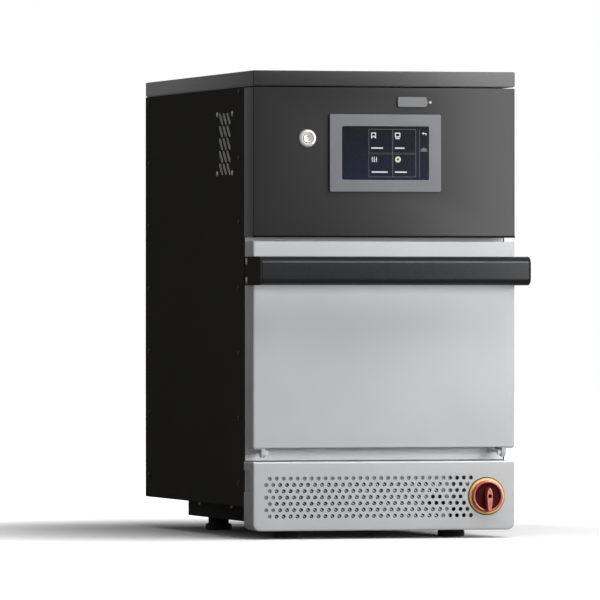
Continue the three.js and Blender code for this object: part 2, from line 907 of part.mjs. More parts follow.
// Liner, insulation, plates and rails
function cavity(group) {
  const inside = [-halfCavity, halfCavity];
  const heights = [cavityFloor, cavityCeiling];
  const outer = [-linerHalf, linerHalf];
  const outerHeights = [cavityFloor - linerWall, cavityCeiling + linerWall];
  const shell = alongY(
    rounded(outer, outerHeights, cavityCorner + linerWall),
    linerFront,
    cavityRear + linerWall,
  );
  const hollow = alongY(rounded(inside, heights, cavityCorner), linerFront - overrun, cavityRear);
  const port = polygon(0, airFanHeight, airPortRadius, roundSides);
  const hole = alongY(port, cavityRear - overrun, cavityRear + linerWall + overrun);
  const rail = box(
    [halfCavity - railReach, halfCavity + linerWall / 2],
    [plateFront, plateRear],
    [railHeight, railHeight + railThickness],
  );
  const liner = shell.subtract(hollow).subtract(hole).add(rail).add(moved(rail, mirrored));
  add(group, 'cavity_liner', liner, steel());

  const plateHalf = halfCavity - plateSideGap;
  const plateBottom = railHeight + railThickness + seat;
  const plate = rounded([-plateHalf, plateHalf], [plateFront, plateRear], plateCorner);
  add(
    group,
    'cook_plate',
    alongZ(plate, plateBottom, plateBottom + plateThickness),
    finish(0xcbbfa6, 0.8, 0),
  );

  const jetHalf = halfCavity - jetPlateInset;
  const jetBottom = cavityCeiling - jetPlateDrop;
  const field = outline([
    [-jetHalf, jetPlateFront],
    [jetHalf, jetPlateFront],
    [jetHalf, jetPlateRear],
    [-jetHalf, jetPlateRear],
  ]);
  const jetWidth = 2 * (jetHalf - jetMargin);
  const jetDepth = jetPlateRear - jetPlateFront - 2 * jetMargin;
  for (let row = 0; row < jetRows; row++) {
    for (let column = 0; column < jetColumns; column++) {
      const x = (column / (jetColumns - 1) - 0.5) * jetWidth;
      const y = jetPlateFront + jetMargin + (row / (jetRows - 1)) * jetDepth;
      field.holes.push(polygon(x, y, jetHoleRadius, smallSides / 2));
    }
  }
  let jets = alongZ(field, jetBottom, jetBottom + jetPlateThickness);
  for (const side of [-1, 1]) {
    const edge = [side * jetHalf, side * (jetHalf - jetPlateThickness)];
    jets = jets.add(box(
      [Math.min(...edge), Math.max(...edge)],
      [jetPlateFront, jetPlateRear],
      [jetBottom, cavityCeiling - seat],
    ));
  }
  add(group, 'upper_jet_plate', jets, steel());

  const rear = cavityRear + linerWall + seat + plenumDepth;
  const woolOuter = [-innerHalf, innerHalf];
  const ring = outline([
    [woolOuter[0], insulationBottom],
    [woolOuter[1], insulationBottom],
    [woolOuter[1], insulationTop],
    [woolOuter[0], insulationTop],
  ]);
  ring.holes.push(rounded(
    [outer[0] - seat, outer[1] + seat],
    [outerHeights[0] - seat, outerHeights[1] + seat],
    cavityCorner + linerWall,
  ));
  add(group, 'cavity_insulation', alongY(ring, linerFront, rear), wool());
}

// The hot air fan: cover, plenum, heater, impeller and motor, all on one axis
function airFan(group) {
  const fan = new THREE.Group();
  fan.position.set(0, cavityRear, airFanHeight);
  group.add(fan);

  const disc = polygon(0, 0, fanCoverRadius - seat, roundSides);
  disc.holes.push(polygon(0, 0, fanCoverHoleRadius, fanCoverHoleSides));
  for (let ring = 0; ring < fanCoverRings; ring++) {
    const radius = fanCoverRadius * (fanCoverFirstShare + ring * fanCoverRingShare);
    const count = fanCoverFirstCount + ring * fanCoverCountStep;
    for (let i = 0; i < count; i++) {
      const turn = (i / count) * 2 * Math.PI;
      const x = radius * Math.cos(turn);
      const z = radius * Math.sin(turn);
      disc.holes.push(polygon(x, z, fanCoverHoleRadius, fanCoverHoleSides));
    }
  }
  const face = alongY(disc, -fanCoverProud, -fanCoverProud + fanCoverThickness);
  const rim = turned([
    [fanCoverRadius - fanCoverThickness, -fanCoverProud],
    [fanCoverRadius, -fanCoverProud + fanCoverThickness],
    [fanCoverRadius, -seat],
    [fanCoverRadius - fanCoverThickness, -seat],
  ], roundSides);
  add(fan, 'rear_fan_cover', face.add(rim), steel());

  const front = linerWall + seat;
  const back = front + plenumDepth;
  const tall = [
    cavityFloor - linerWall - airFanHeight,
    cavityCeiling + linerWall - airFanHeight,
  ];
  const corner = cavityCorner + linerWall;
  const shell = alongY(rounded([-linerHalf, linerHalf], tall, corner), front, back);
  const hollow = alongY(
    rounded(
      [-linerHalf + linerWall, linerHalf - linerWall],
      [tall[0] + linerWall, tall[1] - linerWall],
      cavityCorner,
    ),
    front - overrun,
    back - linerWall,
  );
  const bore = alongY(
    polygon(0, 0, plenumBoreRadius, smallSides),
    back - linerWall - overrun,
    back + overrun,
  );
  add(fan, 'fan_plenum', shell.subtract(hollow).subtract(bore), steel());

  const middle = front + plenumDepth / 2;
  heater(fan, middle, back - linerWall - seat);
  impeller(fan, middle, back);
  airMotor(fan, back);
}

// A round heating element whose two ends run back to the plenum's wall
function heater(fan, middle, wall) {
  const points = [];
  for (let i = 0; i <= heaterSteps; i++) {
    const turn = -Math.PI / 2 + heaterGap + (i / heaterSteps) * 2 * (Math.PI - heaterGap);
    points.push(new THREE.Vector3(
      heaterRadius * Math.cos(turn),
      middle,
      heaterRadius * Math.sin(turn),
    ));
  }
  const arc = new THREE.CatmullRomCurve3(points);
  const section = polygon(0, 0, heaterTube, smallSides / 2);
  const settings = { extrudePath: arc, steps: heaterSteps, bevelEnabled: false };
  let element = solid(new THREE.ExtrudeGeometry(section, settings));
  for (const end of [points[0], points[points.length - 1]]) {
    const leg = turned([
      [0, middle - heaterTube],
      [heaterTube, middle - heaterTube],
      [heaterTube, wall],
      [0, wall],
    ], smallSides / 2);
    element = element.add(shifted(leg, end.x, 0, end.z));
  }
  add(fan, 'heater_element', element, finish(0x4a4440, 0.6, 0.7));
}

// A backplate with a ring of leaning blades, on the motor's shaft
function impeller(fan, middle, back) {
  const plateBack = middle + impellerDepth / 2;
  const plateFront = plateBack - impellerPlate;
  const bladeFront = middle - impellerDepth / 2;
  const shaftTip = back + motorStandoff + shaftReach;
  let wheel = turned([
    [0, bladeFront],
    [impellerHubRadius, bladeFront],
    [impellerHubRadius, plateFront],
    [impellerRadius, plateFront],
    [impellerRadius, plateBack],
    [shaftRadius, plateBack],
    [shaftRadius, shaftTip],
    [0, shaftTip],
  ], roundSides);
  const start = impellerRadius - impellerBladeLength;
  for (let i = 0; i < impellerBlades; i++) {
    const blade = box(
      [0, impellerBladeLength],
      [bladeFront, plateFront + impellerPlate / 2],
      [-impellerBlade / 2, impellerBlade / 2],
    );
    const lean = new THREE.Matrix4().makeRotationY(impellerBladeLean);
    const place = new THREE.Matrix4().makeTranslation(start, 0, 0);
    const round = new THREE.Matrix4().makeRotationY((i / impellerBlades) * 2 * Math.PI);
    wheel = wheel.add(moved(blade, round.multiply(place).multiply(lean)));
  }
  add(fan, 'circulation_impeller', wheel, steel());
}

// The motor stands off the plenum's wall on its own front boss
function airMotor(fan, back) {
  const bore = shaftRadius + shaftClearance;
  const face = back + motorStandoff;
  const depth = face + shaftReach + seat;
  const rear = face + motorLength;
  const motor = turned([
    [0, depth],
    [bore, depth],
    [bore, back + seat],
    [motorCapRadius, back + seat],
    [motorCapRadius, face],
    [motorRadius - motorStandoff, face],
    [motorRadius, face + motorStandoff],
    [motorRadius, rear],
    [motorCapRadius, rear],
    [motorCapRadius, rear + motorCapLength],
    [0, rear + motorCapLength],
  ], roundSides);
  add(fan, 'fan_motor', motor, zinc());
}

// Waveguide, magnetron, transformer, capacitor and board
function microwaveSupply(group) {
  const half = guideWidth / 2;
  const bottom = insulationTop + seat;
  const top = bottom + guideHeight;
  const middle = guideRear - magnetronDepth / 2;
  const duct = box([-half, half], [guideFront, guideRear], [bottom, top]);
  const hollow = box(
    [-half + guideWall, half - guideWall],
    [guideFront + guideWall, guideRear - guideWall],
    [bottom + guideWall, top - guideWall],
  );
  const coupling = alongZ(
    clearing(0, middle, antennaRadius + seat * 2, smallSides),
    top - guideWall - overrun,
    top + overrun,
  );
  const feed = box(
    [-half + guideWall * 2, half - guideWall * 2],
    [guideFront + guideWall * 2, guideFront + guideHeight],
    [bottom - overrun, bottom + guideWall + overrun],
  );
  const guide = duct.subtract(hollow).subtract(coupling).subtract(feed);
  add(group, 'waveguide', guide, zinc());

  const base = top + seat;
  const wide = [-magnetronWidth / 2, magnetronWidth / 2];
  const deep = [guideRear - magnetronDepth, guideRear];
  const core = magnetronWidth * magnetronCoreShare;
  const plate = magnetronFin * 2;
  let tube = box(wide, deep, [base, base + plate]);
  tube = tube.add(box(wide, deep, [base + magnetronHeight - plate, base + magnetronHeight]));
  tube = tube.add(box([-core / 2, core / 2], deep, [base, base + magnetronHeight]));
  for (let i = 1; i <= magnetronFins; i++) {
    const rise = base + (i / (magnetronFins + 1)) * magnetronHeight;
    tube = tube.add(box(wide, deep, [rise - magnetronFin / 2, rise + magnetronFin / 2]));
  }
  const antenna = turnedAlongZ([
    [0, base - antennaLength],
    [antennaRadius, base - antennaLength],
    [antennaRadius, base + plate],
    [0, base + plate],
  ], smallSides);
  tube = tube.add(shifted(antenna, 0, middle, 0));
  add(group, 'magnetron', tube, zinc());

  transformer(group);
  capacitor(group);
  controlBoard(group);
}

// Laminated core with a winding standing out at the front and back
function transformer(group) {
  const floor = baseUnder + sheet + seat;
  const centre = -transformerAcross;
  const wide = [centre - transformerWidth / 2, centre + transformerWidth / 2];
  const deep = [transformerFront, transformerFront + transformerDepth];
  const core = box(wide, deep, [floor, floor + transformerHeight]);
  const halfWinding = (transformerWidth * windingShare) / 2;
  const margin = (transformerHeight * (1 - windingShare)) / 2;
  const winding = rounded(
    [centre - halfWinding, centre + halfWinding],
    [deep[0] - windingReach, deep[1] + windingReach],
    windingReach,
  );
  const coil = alongZ(winding, floor + margin, floor + transformerHeight - margin);
  add(group, 'transformer', core.add(coil), finish(0x6b5a4a, 0.6, 0.5));
}

function capacitor(group) {
  const floor = baseUnder + sheet + seat;
  const can = turnedAlongZ([
    [0, floor],
    [capacitorRadius, floor],
    [capacitorRadius, floor + capacitorHeight],
    [0, floor + capacitorHeight],
  ], roundSides);
  const terminal = turnedAlongZ([
    [0, floor + capacitorHeight - terminalHeight],
    [terminalRadius, floor + capacitorHeight - terminalHeight],
    [terminalRadius, floor + capacitorHeight + terminalHeight],
    [0, floor + capacitorHeight + terminalHeight],
  ], smallSides);
  let made = can;
  for (const side of [-1, 1]) {
    made = made.add(shifted(terminal, (side * capacitorRadius) / 2, 0, 0));
  }
  const mesh = add(group, 'capacitor', made, zinc());
  mesh.position.set(capacitorAcross, capacitorDepth, 0);
}

// A board on standoffs inside the right side panel, with its finned heat sink
function controlBoard(group) {
  const wall = halfWidth - sheet - seat;
  const face = wall - boardStandoff;
  const heights = [boardBottom, boardBottom + boardHeight];
  let board = box([face - boardThickness, face], [boardFront, boardFront + boardLength], heights);
  for (const y of [boardFront + boardMargin, boardFront + boardLength - boardMargin]) {
    for (const z of [boardBottom + boardMargin, boardBottom + boardHeight - boardMargin]) {
      const post = turnedAlongX([
        [0, face - boardThickness / 2],
        [boardStandoffRadius, face - boardThickness / 2],
        [boardStandoffRadius, wall],
        [0, wall],
      ], smallSides / 2);
      board = board.add(shifted(post, 0, y, z));
    }
  }
  const sinkFront = boardFront + boardLength / 2 - heatSinkWidth / 2;
  const sinkBottom = boardBottom + boardHeight / 2 - heatSinkHeight / 2;
  const pitch = heatSinkWidth / heatSinkFins;
  const sinkHeights = [sinkBottom, sinkBottom + heatSinkHeight];
  const inner = face - boardThickness - heatSinkDepth;
  const slab = [face - boardThickness - heatSinkDepth / heatSinkFins, face - boardThickness / 2];
  board = board.add(box(slab, [sinkFront, sinkFront + heatSinkWidth], sinkHeights));
  for (let i = 0; i < heatSinkFins; i++) {
    const y = sinkFront + i * pitch;
    const fin = [y, y + pitch * heatSinkFinShare];
    board = board.add(box([inner, face - boardThickness], fin, sinkHeights));
  }
  add(group, 'control_board', board, finish(0x2f5d3a, 0.6, 0.1));
}

// The fan behind the side grille: square frame with arms and spindle, and its impeller
function coolingFan(group) {
  const fan = new THREE.Group();
  fan.position.set(-halfWidth + sheet + seat, grilleDepth, grilleHeight);
  group.add(fan);

  const half = coolerSize / 2;
  const square = rounded([-half, half], [-half, half], coolerRim * 2);
  square.holes.push(polygon(0, 0, coolerBore, roundSides));
  let frame = alongX(square, 0, coolerDepth);
  const armBack = coolerDepth;
  const armFront = armBack - coolerArmThickness;
  const hub = turnedAlongX([
    [0, armFront - coolerBladeDepth],
    [coolerSpindleRadius, armFront - coolerBladeDepth],
    [coolerSpindleRadius, armFront],
    [coolerHubRadius, armFront],
    [coolerHubRadius, armBack],
    [0, armBack],
  ], roundSides);
  frame = frame.add(hub);
  for (let i = 0; i < coolerArms; i++) {
    const arm = box(
      [armFront, armBack],
      [coolerSpindleRadius, coolerBore + coolerRim / 2],
      [-coolerArm / 2, coolerArm / 2],
    );
    const round = new THREE.Matrix4().makeRotationX(((i + 0.5) / coolerArms) * 2 * Math.PI);
    frame = frame.add(moved(arm, round));
  }
  add(fan, 'cooling_fan_frame', frame, finish(0x232324, 0.6, 0));

  const back = armFront - coolerHubGap;
  const front = back - coolerBladeDepth - coolerRim;
  const spindle = coolerSpindleRadius + coolerHubGap;
  let wheel = turnedAlongX([
    [0, front],
    [coolerHubRadius - coolerBlade, front],
    [coolerHubRadius, front + coolerBlade],
    [coolerHubRadius, back],
    [spindle, back],
    [spindle, armFront - coolerBladeDepth - coolerHubGap],
    [0, armFront - coolerBladeDepth - coolerHubGap],
  ], roundSides);
  const tip = coolerBore - coolerRunningGap;
  const bladeRoot = coolerHubRadius - coolerBlade;
  const middle = (front + back) / 2;
  for (let i = 0; i < coolerBlades; i++) {
    const blade = box(
      [-coolerBlade / 2, coolerBlade / 2],
      [bladeRoot, tip - coolerRunningGap],
      [-coolerBladeDepth / 2, coolerBladeDepth / 2],
    );
    const lean = new THREE.Matrix4().makeRotationY(coolerBladeLean);
    const place = new THREE.Matrix4().makeTranslation(middle, 0, 0);
    const round = new THREE.Matrix4().makeRotationX((i / coolerBlades) * 2 * Math.PI);
    wheel = wheel.add(moved(blade, round.multiply(place).multiply(lean)));
  }
  add(fan, 'cooling_impeller', wheel, finish(0xb9bab8, 0.6, 0));
}

// Door: skin, core, inner panel with its choke channel, gasket and latch hooks
function door(group) {
  const sides = [-halfWidth, halfWidth];
  const heights = [doorBottom, doorTop];
  const front = outline([
    [sides[0], heights[0]],
    [sides[1], heights[0]],
    [sides[1], heights[1]],
    [sides[0], heights[1]],
  ]);
  const inSides = [sides[0] + sheet, sides[1] - sheet];
  const inHeights = [heights[0] + sheet, heights[1] - sheet];
  const hollow = outline([
    [inSides[0], inHeights[0]],
    [inSides[1], inHeights[0]],
    [inSides[1], inHeights[1]],
    [inSides[0], inHeights[1]],
  ]);
  const skin = frontPan(sides, heights, doorDepth, doorEdge, front, hollow);
  add(group, 'door_skin', skin, silverPaint());

  const fitX = [inSides[0] + seat, inSides[1] - seat];
  const fitZ = [inHeights[0] + seat, inHeights[1] - seat];
  const coreFront = sheet + seat;
  const coreX = [fitX[0] + doorEdge, fitX[1] - doorEdge];
  const core = box(coreX, [coreFront, coreFront + coreDepth], fitZ);
  add(group, 'door_core', core, wool());

  const panelFront = coreFront + coreDepth + seat;
  const pan = box(fitX, [panelFront, doorDepth], fitZ);
  const wall = innerPanelWall;
  const hollowPan = box(
    [fitX[0] + wall, fitX[1] - wall],
    [panelFront - overrun, doorDepth - wall],
    [fitZ[0] + wall, fitZ[1] - wall],
  );
  const ringAt = (inset, width, y0, y1) => {
    const shape = rounded(
      [fitX[0] + inset, fitX[1] - inset],
      [fitZ[0] + inset, fitZ[1] - inset],
      plugCorner,
    );
    const within = inset + width;
    shape.holes.push(rounded(
      [fitX[0] + within, fitX[1] - within],
      [fitZ[0] + within, fitZ[1] - within],
      plugCorner,
    ));
    return alongY(shape, y0, y1);
  };
  const outset = chokeOuterInset - wall;
  const channelFront = doorDepth - chokeDepth - wall;
  const channelWall = ringAt(outset, chokeWidth + 2 * wall, channelFront, doorDepth);
  const channel = ringAt(chokeOuterInset, chokeWidth, doorDepth - chokeDepth, doorDepth + overrun);
  const plugX = [-halfCavity + plugInset, halfCavity - plugInset];
  const plugZ = [cavityFloor + plugInset, cavityCeiling - plugInset];
  const plug = alongY(rounded(plugX, plugZ, plugCorner), doorDepth - wall, doorDepth + plugProud);
  const plugHollow = alongY(
    rounded([plugX[0] + wall, plugX[1] - wall], [plugZ[0] + wall, plugZ[1] - wall], plugCorner),
    doorDepth - wall - overrun,
    doorDepth + plugProud - wall,
  );
  const pressed = pan.subtract(hollowPan).add(channelWall).subtract(channel).add(plug);
  add(group, 'door_inner_panel', pressed.subtract(plugHollow), steel());

  const grip = gasketOverlap;
  const gasket = rounded(
    [-halfCavity - grip - gasketWidth, halfCavity + grip + gasketWidth],
    [cavityFloor - grip - gasketWidth, cavityCeiling + grip + gasketWidth],
    plugCorner + gasketWidth,
  );
  gasket.holes.push(rounded(
    [-halfCavity - grip, halfCavity + grip],
    [cavityFloor - grip, cavityCeiling + grip],
    plugCorner,
  ));
  const gasketSolid = alongY(gasket, doorDepth + seat, frameFace - seat);
  add(group, 'door_gasket', gasketSolid, finish(0x55524c, 0.9, 0));

  const stem = latchHeight;
  const tall = latchTall / 2;
  const tip = frameBack + latchReach;
  const hook = alongX(outline([
    [doorDepth + seat, stem - tall],
    [tip - latchReach / 2, stem - tall],
    [tip - latchReach / 2, stem - tall - latchLip],
    [tip - latchReach / 4, stem - tall - latchLip],
    [tip, stem],
    [tip - latchReach / 4, stem + tall],
    [doorDepth + seat, stem + tall],
  ]), latchAcross - latchThickness / 2, latchAcross + latchThickness / 2);
  addPair(group, 'latch_hook', hook, steel);

  const eye = turnedAlongX([
    [0, bracketInner + bracketThickness + seat],
    [hingeEyeRadius, bracketInner + bracketThickness + seat],
    [hingeEyeRadius, bracketInner + bracketThickness + seat + lugThickness],
    [0, bracketInner + bracketThickness + seat + lugThickness],
  ], roundSides);
  const lugX = [
    bracketInner + bracketThickness + seat,
    bracketInner + bracketThickness + seat + lugThickness,
  ];
  const under = doorBottom - seat;
  const web = box(lugX, [hingeDepth - hingeEyeRadius, hingeDepth + lugLength], [hingeHeight, under]);
  const flange = box(
    [lugX[0], lugX[1] + lugFlangeWidth],
    [hingeDepth - hingeEyeRadius, hingeDepth + lugLength],
    [under - lugFlangeThickness, under],
  );
  const bore = turnedAlongX([
    [0, lugX[0] - overrun],
    [hingePinRadius + hingeClearance, lugX[0] - overrun],
    [hingePinRadius + hingeClearance, lugX[1] + overrun],
    [0, lugX[1] + overrun],
  ], roundSides);
  const lug = shifted(eye, 0, hingeDepth, hingeHeight)
    .add(web)
    .add(flange)
    .subtract(shifted(bore, 0, hingeDepth, hingeHeight));
  addPair(group, 'hinge_lug', lug, steel);
}

// Fixed hinge brackets on the front frame, each with its pin
function hingeBrackets(group) {
  const across = [bracketInner, bracketInner + bracketThickness];
  const back = frameFace - seat;
  const low = hingeHeight - hingeEyeRadius;
  const high = hingeHeight + hingeEyeRadius - seat * 2;
  const round = turnedAlongX([
    [0, across[0]],
    [hingeEyeRadius - seat, across[0]],
    [hingeEyeRadius - seat, across[1]],
    [0, across[1]],
  ], roundSides);
  const pinEnd = across[1] + seat + lugThickness + seat;
  const pin = turnedAlongX([
    [0, across[0]],
    [hingePinRadius, across[0]],
    [hingePinRadius, pinEnd],
    [0, pinEnd],
  ], roundSides);
  const flange = box(
    [across[0] - lugFlangeWidth, across[1]],
    [back - bracketThickness / 2, back],
    [low, high],
  );
  const bracket = box(across, [hingeDepth, back], [low + seat, high])
    .add(flange)
    .add(shifted(round, 0, hingeDepth, hingeHeight))
    .add(shifted(pin, 0, hingeDepth, hingeHeight));
  addPair(group, 'hinge_bracket', bracket, steel);
}

// Handle section: flat front, curved faces above and below
function handleSection(back) {
  const middle = (handleBottom + handleTop) / 2;
  const flat = handleFlat / 2;
  const curve = [handleCurveDepth, (handleTop - handleBottom) / 2 - flat];
  const shape = new THREE.Shape();
  const front = -handleReach;
  shape.moveTo(back, handleBottom);
  shape.lineTo(back, handleTop);
  const turn = Math.PI / 2;
  shape.absellipse(front + curve[0], middle + flat, curve[0], curve[1], turn, 2 * turn, false);
  shape.absellipse(front + curve[0], middle - flat, curve[0], curve[1], 2 * turn, 3 * turn, false);
  shape.closePath();
  return shape;
}

function handle(group) {
  const outerEnd = halfWidth + handleOverhang;
  const barEnd = outerEnd - armPlate - seat;
  const barBack = -handleReach + handleThickness;
  const steps = panSteps * 2;
  const bar = alongX(handleSection(barBack), -barEnd, barEnd, steps);
  add(group, 'handle_bar', bar, handlePaint());

  const profile = alongX(handleSection(armRear), halfWidth, outerEnd, steps);
  const heights = [handleBottom - overrun, handleTop + overrun];
  const plan = outline([
    [outerEnd, -handleReach],
    [outerEnd, armRear - armCorner],
    [outerEnd - armPlate / 2, armRear],
    [halfWidth + seat, armRear],
    [halfWidth + seat, barBack + seat],
    [outerEnd - armPlate, barBack + seat],
    [outerEnd - armPlate, -handleReach],
  ]);
  addPair(group, 'handle_arm', profile.intersect(alongZ(plan, ...heights)), handlePaint);
}

// The pull-off panel with its staggered holes and the filter behind them
function filterPanel(group) {
  const x = [-halfWidth, halfWidth];
  const z = [panelBottom, panelTop];
  const front = panelOutline(x, z, panelCorner);
  const opening = switchPlateRadius + switchPanelGap;
  front.holes.push(clearing(switchAcross, switchHeight, opening, roundSides));
  const inside = panelOutline(
    [x[0] + sheet, x[1] - sheet],
    [z[0] + sheet, z[1] - sheet],
    panelCorner - sheet,
  );
  const pan = frontPan(x, z, panelDepth, panelEdge, front, inside);
  const edge = new THREE.Shape();
  edge.moveTo(0, z[0] - overrun);
  edge.lineTo(panelDepth + overrun, z[0] - overrun);
  edge.lineTo(panelDepth + overrun, z[1]);
  edge.absarc(panelEdge, z[1] - panelEdge, panelEdge, Math.PI / 2, Math.PI);
  edge.closePath();
  const notch = box(
    [x[0] - overrun, x[0] + sheet + overrun],
    [panelDepth - notchDepth, panelDepth + overrun],
    [notchBottom, notchTop],
  );
  const panel = pan
    .intersect(alongX(edge, x[0] - overrun, x[1] + overrun))
    .subtract(notch)
    .subtract(moved(notch, mirrored));
  add(group, 'filter_panel', perforated(panel), silverPaint());

  const across = [filterLeft - halfWidth, halfWidth - filterRightInset];
  const tall = [z[0] + filterInset, z[1] - filterInset];
  const depths = [sheet + seat, sheet + seat + filterDepth];
  const rim = box(across, depths, tall);
  const inner = [across[0] + filterRim, across[1] - filterRim];
  const innerTall = [tall[0] + filterRim, tall[1] - filterRim];
  let filter = rim;
  for (const cut of [
    [depths[0] - overrun, depths[0] + filterPadDrop],
    [depths[1] - filterPadDrop, depths[1] + overrun],
  ]) {
    filter = filter.subtract(box(inner, cut, innerTall));
  }
  const pitch = (inner[1] - inner[0]) / (filterRibs + 1);
  for (let i = 1; i <= filterRibs; i++) {
    const middle = inner[0] + i * pitch;
    const start = depths[1] - filterPadDrop - filterRibHeight;
    filter = filter.add(box(
      [middle - filterRib / 2, middle + filterRib / 2],
      [start, start + filterRibHeight * 2],
      innerTall,
    ));
  }
  add(group, 'air_filter', filter, finish(0x6e6f6d, 0.7, 0.5));
}

// Staggered rows of holes, left blank around the switch
function perforated(panel) {
  const hole = alongY(polygon(0, 0, holeRadius, holeSides), -overrun, sheet + overrun);
  const run = bodyWidth - holeFirst - holeRightMargin;
  const holeColumns = Math.ceil(run / holePitch);
  let cut = panel;
  for (let row = 0; row < holeRows; row++) {
    const height = holeTopRow - row * holeRowPitch;
    const stagger = row % 2 === 0 ? holePitch / 2 : 0;
    for (let column = 0; column < holeColumns; column++) {
      const across = holeFirst - halfWidth + stagger + column * holePitch;
      if (Math.hypot(across - switchAcross, height - switchHeight) > blankRadius + holeRadius) {
        cut = cut.subtract(shifted(hole, across, 0, height));
      }
    }
  }
  return cut;
}

// Square at the top, round at the two lower corners
function panelOutline(x, z, corner) {
  const shape = new THREE.Shape();
  shape.moveTo(x[0], z[1]);
  shape.lineTo(x[0], z[0] + corner);
  shape.absarc(x[0] + corner, z[0] + corner, corner, Math.PI, 1.5 * Math.PI);
  shape.absarc(x[1] - corner, z[0] + corner, corner, -Math.PI / 2, 0);
  shape.lineTo(x[1], z[1]);
  shape.closePath();
  return shape;
}

// Rotary isolator: bracket, body and yellow plate stay, the red knob turns
function mainSwitch(group) {
  const unit = new THREE.Group();
  unit.position.set(switchAcross, 0, switchHeight);
  group.add(unit);

  const bore = knobShaftRadius + shaftClearance;
  const plateBack = switchBracketFront - seat;
  const bracketBack = switchBracketFront + sheet;
  const wide = switchBracketWidth / 2;
  const tall = switchBracketHeight / 2;
  const legBottom = Math.max(-tall, baseUnder - switchHeight);
  const face = box([-wide, wide], [switchBracketFront, bracketBack], [-tall, tall]);
  let bracket = face.subtract(alongY(
    clearing(0, 0, bore, smallSides),
    switchBracketFront - overrun,
    bracketBack + overrun,
  ));
  for (const side of [-1, 1]) {
    const edge = [side * wide, side * (wide - sheet)];
    bracket = bracket.add(box(
      [Math.min(...edge), Math.max(...edge)],
      [switchBracketFront, frameFace - seat],
      [legBottom, tall],
    ));
  }
  add(unit, 'switch_bracket', bracket, zinc());

  const half = switchBodySize / 2;
  const front = bracketBack + seat;
  const block = box([-half, half], [front, front + switchBodyDepth], [-half, half]);
  const socket = alongY(
    clearing(0, 0, bore, smallSides),
    front - overrun,
    front + knobShaftDepth + seat,
  );
  let switchBody = block.subtract(socket);
  for (const side of [-1, 1]) {
    for (const column of [-1, 0, 1]) {
      const x = column * switchTerminalPitch;
      const reach = [side * (half - switchTerminal / 2), side * (half + overrun)];
      switchBody = switchBody.subtract(box(
        [x - switchTerminal / 2, x + switchTerminal / 2],
        [front + switchBodyDepth / 2, front + switchBodyDepth + overrun],
        [Math.min(...reach), Math.max(...reach)],
      ));
    }
  }
  add(unit, 'switch_body', switchBody, finish(0x2b2b2d, 0.6, 0));

  const plate = turned([
    [bore, -switchPlateProud],
    [switchPlateRadius - seat, -switchPlateProud],
    [switchPlateRadius, -switchPlateProud + seat],
    [switchPlateRadius, plateBack],
    [bore, plateBack],
  ], fineSides);
  add(unit, 'switch_escutcheon', plate, finish(0xd9a441, 0.5, 0));

  const back = -switchPlateProud - seat;
  const rim = back - knobRimHeight;
  const dish = rim + knobDishDepth;
  const skirt = turned([
    [0, dish],
    [knobDishRadius - seat, dish],
    [knobDishRadius, rim],
    [knobRadius - seat * 2, rim],
    [knobRadius, rim + seat * 2],
    [knobRadius, back],
    [knobShaftRadius, back],
    [knobShaftRadius, front + knobShaftDepth],
    [0, front + knobShaftDepth],
  ], fineSides);
  const leverHalf = knobLeverWidth / 2;
  const leverFoot = knobLeverFootWidth / 2;
  const leverNeck = leverHalf * knobLeverNeckShare;
  const lever = outline([
    [-leverFoot, -knobLeverFoot],
    [leverFoot, -knobLeverFoot],
    [leverHalf, -knobLeverShoulder],
    [leverHalf, knobLeverShoulder],
    [leverNeck, knobLeverNeck],
    [0, knobLeverTip],
    [-leverNeck, knobLeverNeck],
    [-leverHalf, knobLeverShoulder],
    [-leverHalf, -knobLeverShoulder],
  ]);
  lever.holes.push(polygon(0, 0, knobPadlockRadius, smallSides));
  const grip = alongY(lever, -knobLeverProud, dish + seat);
  add(unit, 'switch_knob', skirt.add(grip), finish(0x8f1d26, 0.4, 0));
}

chassis(model);
enclosure(model);
gland(model);
frontFrame(model);
controlPanel(model);
cavity(model);
airFan(model);
microwaveSupply(model);
coolingFan(model);
door(model);
hingeBrackets(model);
handle(model);
filterPanel(model);
mainSwitch(model);

// The origin is under the middle of the whole part, from the handle to the gland's tip
model.position.y = -(bodyDepth + glandReach - handleReach) / 2;

export default root;
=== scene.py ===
import json
import math
from itertools import product

import bmesh
import bpy
from mathutils import Matrix, Vector


